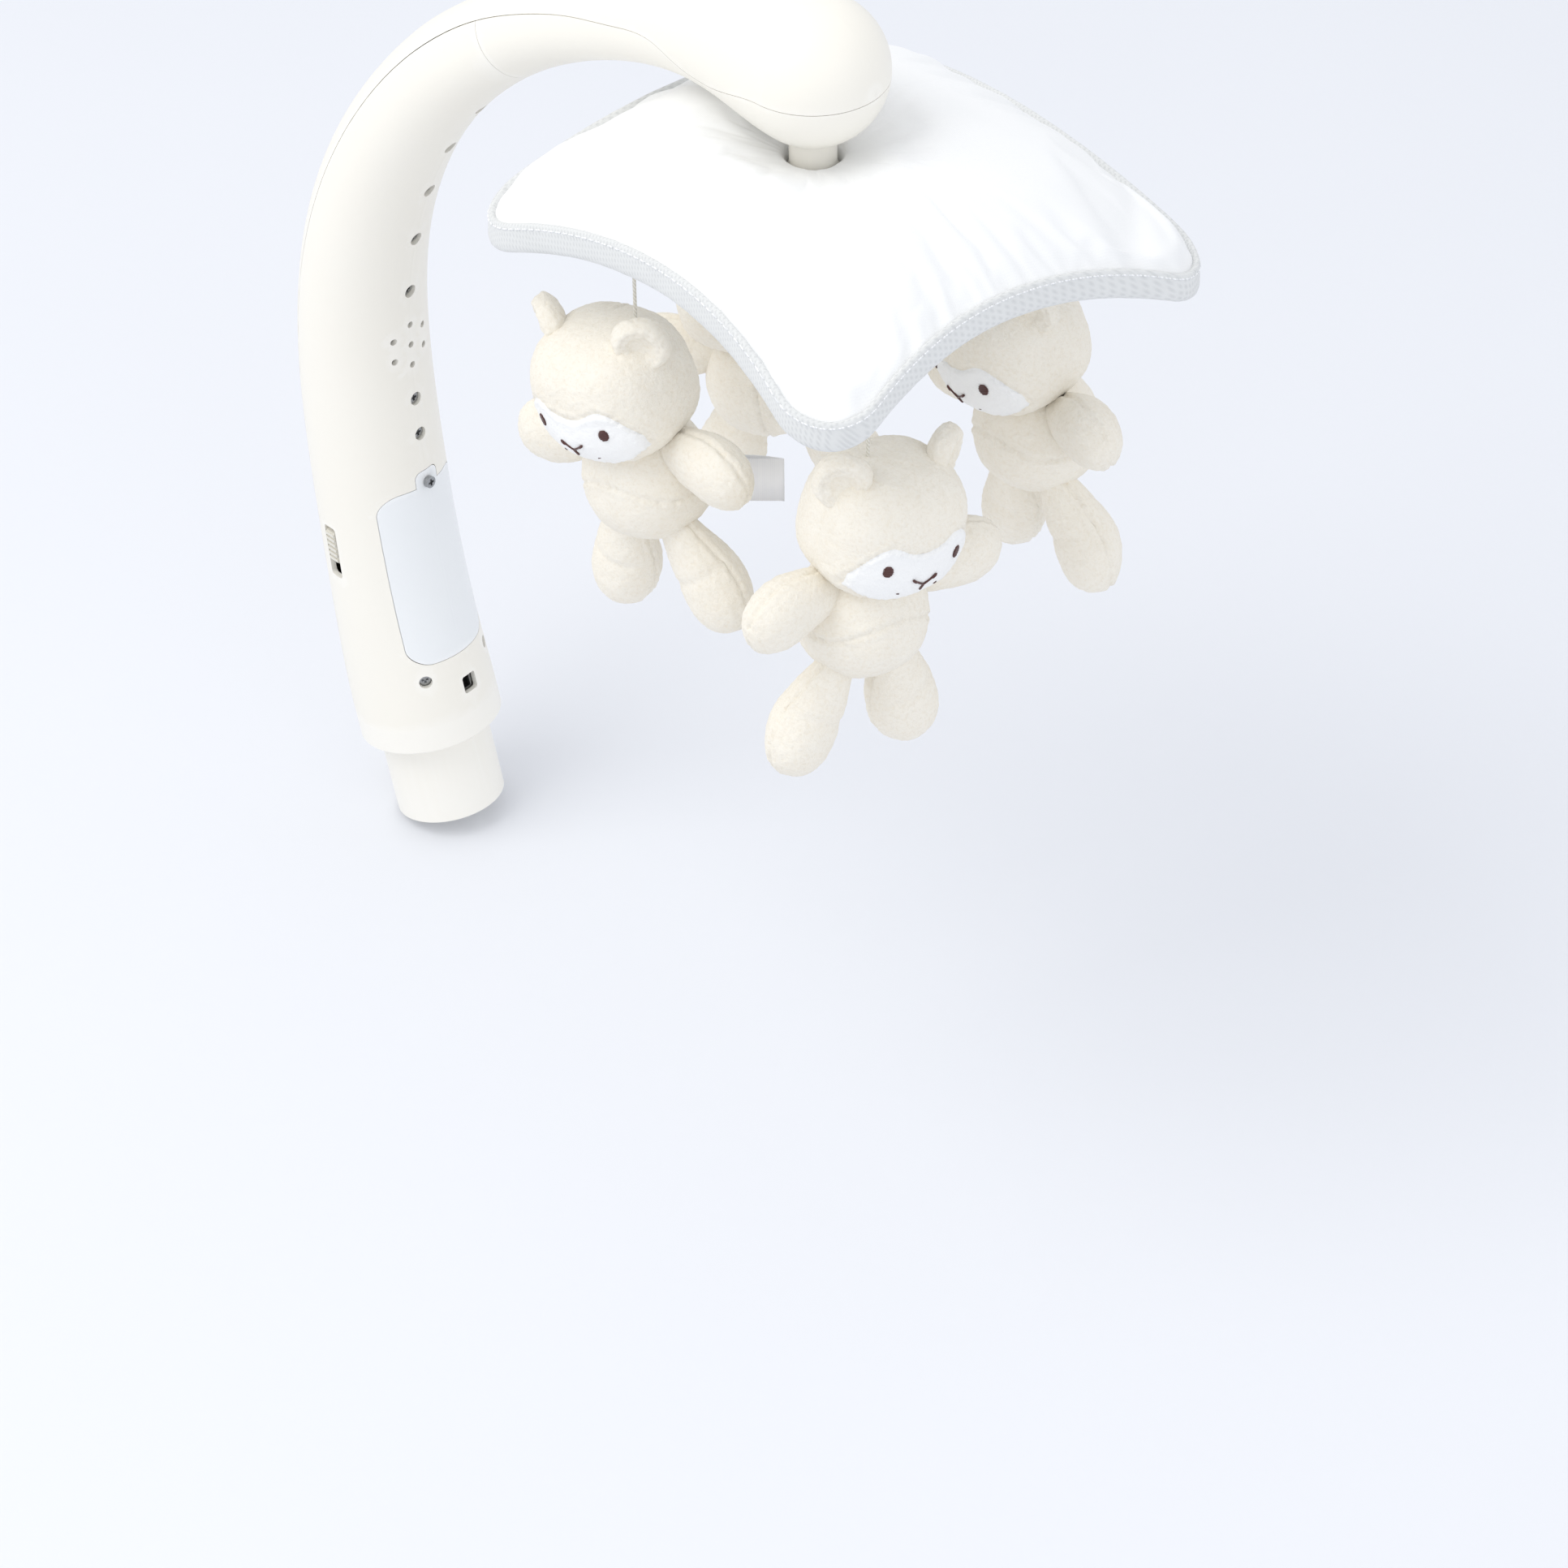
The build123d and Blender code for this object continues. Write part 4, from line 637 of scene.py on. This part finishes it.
# bears: each soft part is a rounded form in its own bear's directions, with sewn edges and a short pile
bear = {"headSize": (30, 27, 27), "headDrop": 27, "balance": 59, "torsoDrop": 70, "torsoSize": (25, 24, 27),
        "armDrop": 58, "armOut": 31, "armLength": 28, "armRadius": 15.2,
        "legDrop": 107, "legOut": 20, "legSplay": 22, "legForward": 7, "legLength": 29, "legRadius": 14.8,
        "earOut": 23.5, "earDrop": 4.5, "earRadius": 11, "earThickness": 6.0, "earTurn": 35,
        "napMm": 8.0, "napLift": 0.3, "tuftMm": 2.0, "tuftLift": 0.26, "pileMm": 1.1, "pileLift": 0.14,
        "seamWidth": 0.8, "seamDepth": 0.55,
        "eyeOut": 15.5, "eyeHeight": -3.0, "eyeRadius": 2.1, "noseHeight": -10.5, "browHeight": 2.2,
        "leanHeading": -50,
        "each": [{"facing": 270, "lean": 16, "string": 38, "tilts": (8, 8)},
                 {"facing": 345, "lean": -10, "string": 56.5, "tilts": (-14, 8)},
                 {"facing": 255, "lean": 16, "string": 38, "tilts": (-10, 8)},
                 {"facing": 120, "lean": 8, "string": 53, "tilts": (8, 8)}]}

ballCache = {}


def ballGrid(steps):
    # evenly spread directions on a ball, as six square grids sewn together
    if steps in ballCache:
        return ballCache[steps]
    found, points, faces = {}, [], []
    span = [math.tan(math.pi / 4 * (2 * i / steps - 1)) for i in range(steps + 1)]
    for axis in range(3):
        for side in (-1, 1):
            rows = []
            for u in span:
                row = []
                for v in span:
                    p = [0, 0, 0]
                    p[axis] = side
                    p[(axis + 1) % 3] = u
                    p[(axis + 2) % 3] = v * side
                    size = math.sqrt(sum(c * c for c in p))
                    p = tuple(c / size for c in p)
                    key = tuple(round(c, 5) for c in p)
                    if key not in found:
                        found[key] = len(points)
                        points.append(p)
                    row.append(found[key])
                rows.append(row)
            for i in range(steps):
                for j in range(steps):
                    faces.append((rows[i][j], rows[i + 1][j], rows[i + 1][j + 1], rows[i][j + 1]))
    ballCache[steps] = (np.array(points), faces)
    return ballCache[steps]


def bearFrame(number):
    # top of the head, and the sideways, forward and downward directions of one bear, in millimetres
    look = bear["each"][number - 1]
    low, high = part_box(f"bear_{number}_string")
    foot = np.array([0.5 * (low.x + high.x), 0.5 * (low.y + high.y), high.z]) / mm
    foot[2] -= look["string"]
    heading = math.radians(bear["leanHeading"])
    lean = Matrix.Rotation(math.radians(look["lean"]), 3, Vector((math.cos(heading), math.sin(heading), 0)))
    facing = math.radians(look["facing"])
    front = np.array(lean @ Vector((math.cos(facing), math.sin(facing), 0)))
    left = np.array(lean @ Vector((-math.sin(facing), math.cos(facing), 0)))
    down = np.array(lean @ Vector((0, 0, -1)))
    crown = foot + bear["balance"] * (np.array([0, 0, -1]) - down)
    return crown, left, front, down


def superBall(directions, size, power):
    scaled = (np.abs(directions / np.array(size)) ** power).sum(1) ** (-1 / power)
    return directions * scaled[:, None]


def normalsOf(points, faces):
    quads = np.array(faces)
    a = points[quads[:, 2]] - points[quads[:, 0]]
    b = points[quads[:, 3]] - points[quads[:, 1]]
    across = np.cross(a, b)
    normals = np.zeros_like(points)
    for k in range(4):
        np.add.at(normals, quads[:, k], across)
    normals /= np.maximum(np.linalg.norm(normals, axis=1), 1e-9)[:, None]
    if (normals * (points - points.mean(0))).sum() < 0:
        normals = -normals
    return normals


def pile(points, normals, seam, seed):
    # brushed patches, tufts and a sewn groove; seam is the distance to the nearest seam
    lift = bear["napLift"] * noiseAt(points, bear["napMm"], seed)
    roughness = 1 + 1.6 * np.exp(-(seam / 2.2) ** 2)
    lift += roughness * bear["tuftLift"] * noiseAt(points, bear["tuftMm"], seed + 3)
    lift += roughness * bear["pileLift"] * noiseAt(points, bear["pileMm"], seed + 7)
    lift -= bear["seamDepth"] * np.exp(-(seam / bear["seamWidth"]) ** 2)
    lift += 0.35 * np.exp(-((seam - 2.0) / 1.2) ** 2)
    return points + normals * lift[:, None]


def plushPiece(name, node, body, local, faces, seam, axes, seed, mask=None):
    # local points are (sideways, forward, up) from the top of the head
    crown, left, front, down = axes
    normals = normalsOf(local, faces)
    raised = pile(local, normals, seam, seed)
    points = crown + raised[:, :1] * left + raised[:, 1:2] * front - raised[:, 2:] * down
    piece = meshPiece(name, points, faces, creamPlush)
    attribute = piece.data.attributes.new("faceMask", "FLOAT", "POINT")
    attribute.data.foreach_set("value", np.zeros(len(points)) if mask is None else mask)
    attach(piece, body)
    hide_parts(node)
    return piece


def headSurface(directions):
    # broad, flat-topped head with a short muzzle
    size = bear["headSize"]
    points = superBall(directions, size, 2.6)
    muzzle = np.exp(-((directions[:, 0] / 0.5) ** 2 + ((directions[:, 2] + 0.42) / 0.42) ** 2)) * (directions[:, 1] > 0)
    points[:, 1] += 2.6 * muzzle
    cheek = np.exp(-((np.abs(directions[:, 0]) - 0.75) / 0.3) ** 2 - ((directions[:, 2] + 0.45) / 0.35) ** 2)
    points[:, 0] += 1.2 * np.sign(directions[:, 0]) * cheek
    points[:, 2] -= 1.0 * np.exp(-(directions[:, 0] / 0.45) ** 2) * smoothstep(0.2, 1.0, directions[:, 2])
    points[:, 2] -= bear["headDrop"]
    return points


def faceShape(local):
    # 1 inside the white face panel and 0 outside, with its sewn edge between
    x = local[:, 0]
    z = local[:, 2] + bear["headDrop"]
    brow = (bear["browHeight"] + 4.2 * np.exp(-((np.abs(x) - 14.5) / 6.5) ** 2)
            - 0.12 * np.maximum(np.abs(x) - 18, 0) ** 2)
    chin = -23.0 + 0.013 * x ** 2
    inside = np.minimum(np.minimum(brow - z, z - chin), 27.0 - np.abs(x) - 0.08 * np.abs(z + 9))
    return np.where(local[:, 1] > 2, inside, -9)


def makeHead(number, axes):
    directions, faces = ballGrid(52)
    local = headSurface(directions)
    inside = faceShape(local)
    mask = smoothstep(-0.7, 0.7, inside)
    back = np.where(local[:, 1] < -12, np.abs(local[:, 0]), 99.0)
    seam = np.minimum(np.abs(inside), back)
    normals = normalsOf(local, faces)
    local = local + 0.5 * mask[:, None] * normals
    plushPiece(f"bear_{number}_head_plush", f"bear_{number}_head", f"bear_{number}", local, faces, seam, axes,
               11.3 * number, mask)


def makeTorso(number, axes):
    directions, faces = ballGrid(40)
    local = superBall(directions, bear["torsoSize"], 2.2)
    local[:, :2] *= (1 - 0.09 * directions[:, 2:] - 0.05 * directions[:, 2:] ** 2)
    local[:, 1] += 1.5 * np.exp(-((directions[:, 2] + 0.3) / 0.5) ** 2) * (directions[:, 1] > 0) * directions[:, 1]
    seam = np.where(local[:, 1] > 0, np.abs(local[:, 2] - 9.0 + 0.02 * local[:, 0] ** 2), np.abs(local[:, 0]))
    local[:, 2] -= bear["torsoDrop"]
    plushPiece(f"bear_{number}_torso_plush", f"bear_{number}_torso", f"bear_{number}", local, faces, seam, axes,
               11.3 * number + 2)


def limb(directions, centre, along, side, length, radius, narrow, flat, bend):
    # a stuffed paddle: slim where it is sewn on, full at its end, with its edge seam in the along-side plane
    along = np.array(along) / np.linalg.norm(along)
    side = np.array(side) - np.dot(side, along) * along
    side /= np.linalg.norm(side)
    thick = np.cross(along, side)
    t = directions[:, 0]
    swell = narrow + (1 - narrow) * smoothstep(-0.9, 0.55, t)
    across = np.maximum(np.sqrt(1 - t ** 2), 1e-6)
    blunt = np.where(t > 0, (1 - np.abs(t) ** 3.4) ** 0.5, (1 - np.abs(t) ** 2.2) ** 0.5) / across
    wide = radius * swell * np.minimum(blunt, 1.6)
    points = (np.array(centre) + length * t[:, None] * along
              + (wide * directions[:, 1])[:, None] * side + (flat * wide * directions[:, 2])[:, None] * thick)
    points += (bend * smoothstep(0.1, 1.0, t))[:, None] * np.array([0, 1, 0])
    seam = np.abs(flat * wide * directions[:, 2])
    return points, np.where(np.abs(t) < 0.985, seam, seam + 1)


def joined(parts):
    points, faces, seams = [], [], []
    for morePoints, moreFaces, moreSeam in parts:
        start = sum(len(p) for p in points)
        points.append(morePoints)
        seams.append(moreSeam)
        faces += [tuple(i + start for i in face) for face in moreFaces]
    return np.concatenate(points), faces, np.concatenate(seams)


def armShapes(number):
    directions, grid = ballGrid(34)
    for side, below in zip((1, -1), bear["each"][number - 1]["tilts"]):
        tilt = math.radians(below)
        along = (side * math.cos(tilt), 0.12, -math.sin(tilt))
        centre = (side * bear["armOut"], 0, -bear["armDrop"])
        local, seam = limb(directions, centre, along, (0, 0, 1), bear["armLength"], bear["armRadius"], 0.6, 0.78, 1.5)
        yield local, grid, seam


def legShapes(number):
    directions, grid = ballGrid(34)
    splay = math.radians(bear["legSplay"])
    for side in (1, -1):
        along = (side * math.sin(splay), 0.0, -math.cos(splay))
        centre = (side * bear["legOut"], bear["legForward"], -bear["legDrop"])
        local, seam = limb(directions, centre, along, (1, 0, 0), bear["legLength"], bear["legRadius"], 0.6, 0.9, 3.0)
        crease = np.exp(-((directions[:, 0] - 0.05) / 0.07) ** 2) * (directions[:, 2] < 0)
        local[:, 1] -= 0.9 * crease
        yield local, grid, seam


def earShapes(number):
    # a round ear of two panels with a dished front and a turned rim
    directions, grid = ballGrid(24)
    for side in (1, -1):
        turn = math.radians(bear["earTurn"])
        out = np.array([side * math.sin(turn), math.cos(turn), 0])
        across = np.array([math.cos(turn), -side * math.sin(turn), 0])
        up = np.array([0, 0, 1.0])
        disc = superBall(directions, (bear["earRadius"], bear["earRadius"], bear["earThickness"]), 2.3)
        radius = np.hypot(disc[:, 0], disc[:, 1])
        dish = 4.6 * np.exp(-(radius / (0.55 * bear["earRadius"])) ** 4) * (disc[:, 2] > 0)
        thick = disc[:, 2] - dish
        centre = np.array([side * bear["earOut"], 0, -bear["earDrop"]])
        local = centre + disc[:, :1] * across + disc[:, 1:2] * up + thick[:, None] * out
        seam = np.where(disc[:, 2] > 0, np.abs(radius - 0.66 * bear["earRadius"]), np.abs(disc[:, 2]) + 1.0)
        yield local, grid, seam


def makeFace(number, axes):
    # embroidered eyes, a Y-shaped nose and two small mouth stitches
    crown, left, front, down = axes
    points, faces = [], []

    def onFace(x, z, out=0.0):
        span = superBall(np.array([[x, 24.0, z]]) / np.linalg.norm([x, 24.0, z]), bear["headSize"], 2.6)[0]
        muzzle = 2.6 * math.exp(-((span[0] / 27 / 0.5) ** 2 + ((span[2] / 27 + 0.42) / 0.42) ** 2))
        y = span[1] + muzzle + 0.85 + out
        return crown + span[0] * left + y * front - (span[2] - bear["headDrop"]) * down

    def addThread(start, end, radius):
        morePoints, moreFaces = capsule(start, end, radius, 8)
        faces.extend(tuple(i + len(points) for i in face) for face in moreFaces)
        points.extend(morePoints)

    nose = bear["noseHeight"]
    for side in (-1, 1):
        rows = 7
        for row in range(rows):
            share = 2 * (row + 0.5) / rows - 1
            half = bear["eyeRadius"] * math.sqrt(1 - share ** 2)
            z = bear["eyeHeight"] + 1.1 * bear["eyeRadius"] * share
            addThread(onFace(side * bear["eyeOut"] - half, z, 0.1), onFace(side * bear["eyeOut"] + half, z, 0.1), 0.42)
        addThread(onFace(side * 8.2, nose - 5.2), onFace(side * 9.4, nose - 4.8), 0.34)
        addThread(onFace(0, nose, 0.1), onFace(side * 4.6, nose + 2.9, 0.1), 0.42)
        addThread(onFace(side * 3.4, nose + 2.0, 0.1), onFace(side * 4.8, nose + 3.2, 0.1), 0.6)
    addThread(onFace(0, nose + 0.4, 0.1), onFace(0, nose - 3.6, 0.1), 0.5)
    piece = meshPiece(f"bear_{number}_embroidery", points, faces, brownThread)
    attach(piece, f"bear_{number}")


def makeString(number):
    # a single cord, pulled straight by the bear's weight; the cord's doubling and the knot under its eyelet are not
    # drawn
    low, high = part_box(f"bear_{number}_string")
    top = Vector((0.5 * (low.x + high.x), 0.5 * (low.y + high.y), high.z))
    bottom = Vector((top.x, top.y, low.z))
    curve = bpy.data.curves.new(f"bear_{number}_cord", "CURVE")
    curve.dimensions = "3D"
    curve.bevel_depth = 0.0007
    curve.bevel_resolution = 3
    curve.use_fill_caps = True
    spline = curve.splines.new("NURBS")
    spline.points.add(3)
    for point, share in zip(spline.points, (0, 0.33, 0.67, 1)):
        point.co = (*top.lerp(bottom, share), 1)
    spline.order_u = 3
    spline.use_endpoint_u = True
    curve.materials.append(twistedCord)
    cord = bpy.data.objects.new(f"bear_{number}_cord", curve)
    scene.collection.objects.link(cord)
    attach(cord, f"bear_{number}_string")
    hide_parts(f"bear_{number}_string")


for number in range(1, 5):
    axes = bearFrame(number)
    makeHead(number, axes)
    makeTorso(number, axes)
    for word, shapes in (("arms", armShapes), ("legs", legShapes), ("ears", earShapes)):
        local, faces, seam = joined(list(shapes(number)))
        plushPiece(f"bear_{number}_{word}_plush", f"bear_{number}_{word}", f"bear_{number}", local, faces, seam, axes,
                   11.3 * number + len(word))
    makeFace(number, axes)
    makeString(number)
print("bears done")


# care label: two leaves of white satin tape, folded and sewn into the side seam
label = {"rise": 10, "steps": 26, "gap": 0.9}


def makeLabel():
    low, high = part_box("care_label")
    start = np.array([low.x, low.y, 0.5 * (low.z + high.z)]) / mm
    end = np.array([high.x, high.y, 0.5 * (low.z + high.z)]) / mm
    along = (end - start) / np.linalg.norm(end - start)
    side = np.array([-along[1], along[0], 0])
    span = np.linalg.norm(end - start)
    rows = []
    for leaf in (1, -1):
        for k in range(label["steps"]):
            share = k / (label["steps"] - 1) if leaf > 0 else 1 - k / (label["steps"] - 1)
            bow = leaf * label["gap"] * math.sin(math.pi * min(share * 1.02, 1)) * 1.2 + 0.8 * math.sin(3 * share)
            here = start + span * share * along + bow * side
            rows.append([here + np.array([0, 0, label["rise"]]), here - np.array([0, 0, label["rise"]])])
    points = np.array(rows).reshape(-1, 3)
    faces = [(2 * k, 2 * k + 1, 2 * k + 3, 2 * k + 2) for k in range(len(rows) - 1)]
    piece = meshPiece("care_label_satin", points, faces, satinTape)
    body = piece.modifiers.new("thickness", "SOLIDIFY")
    body.thickness = 0.0002
    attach(piece, "bear_1")
    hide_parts("care_label")


makeLabel()
print("label done")
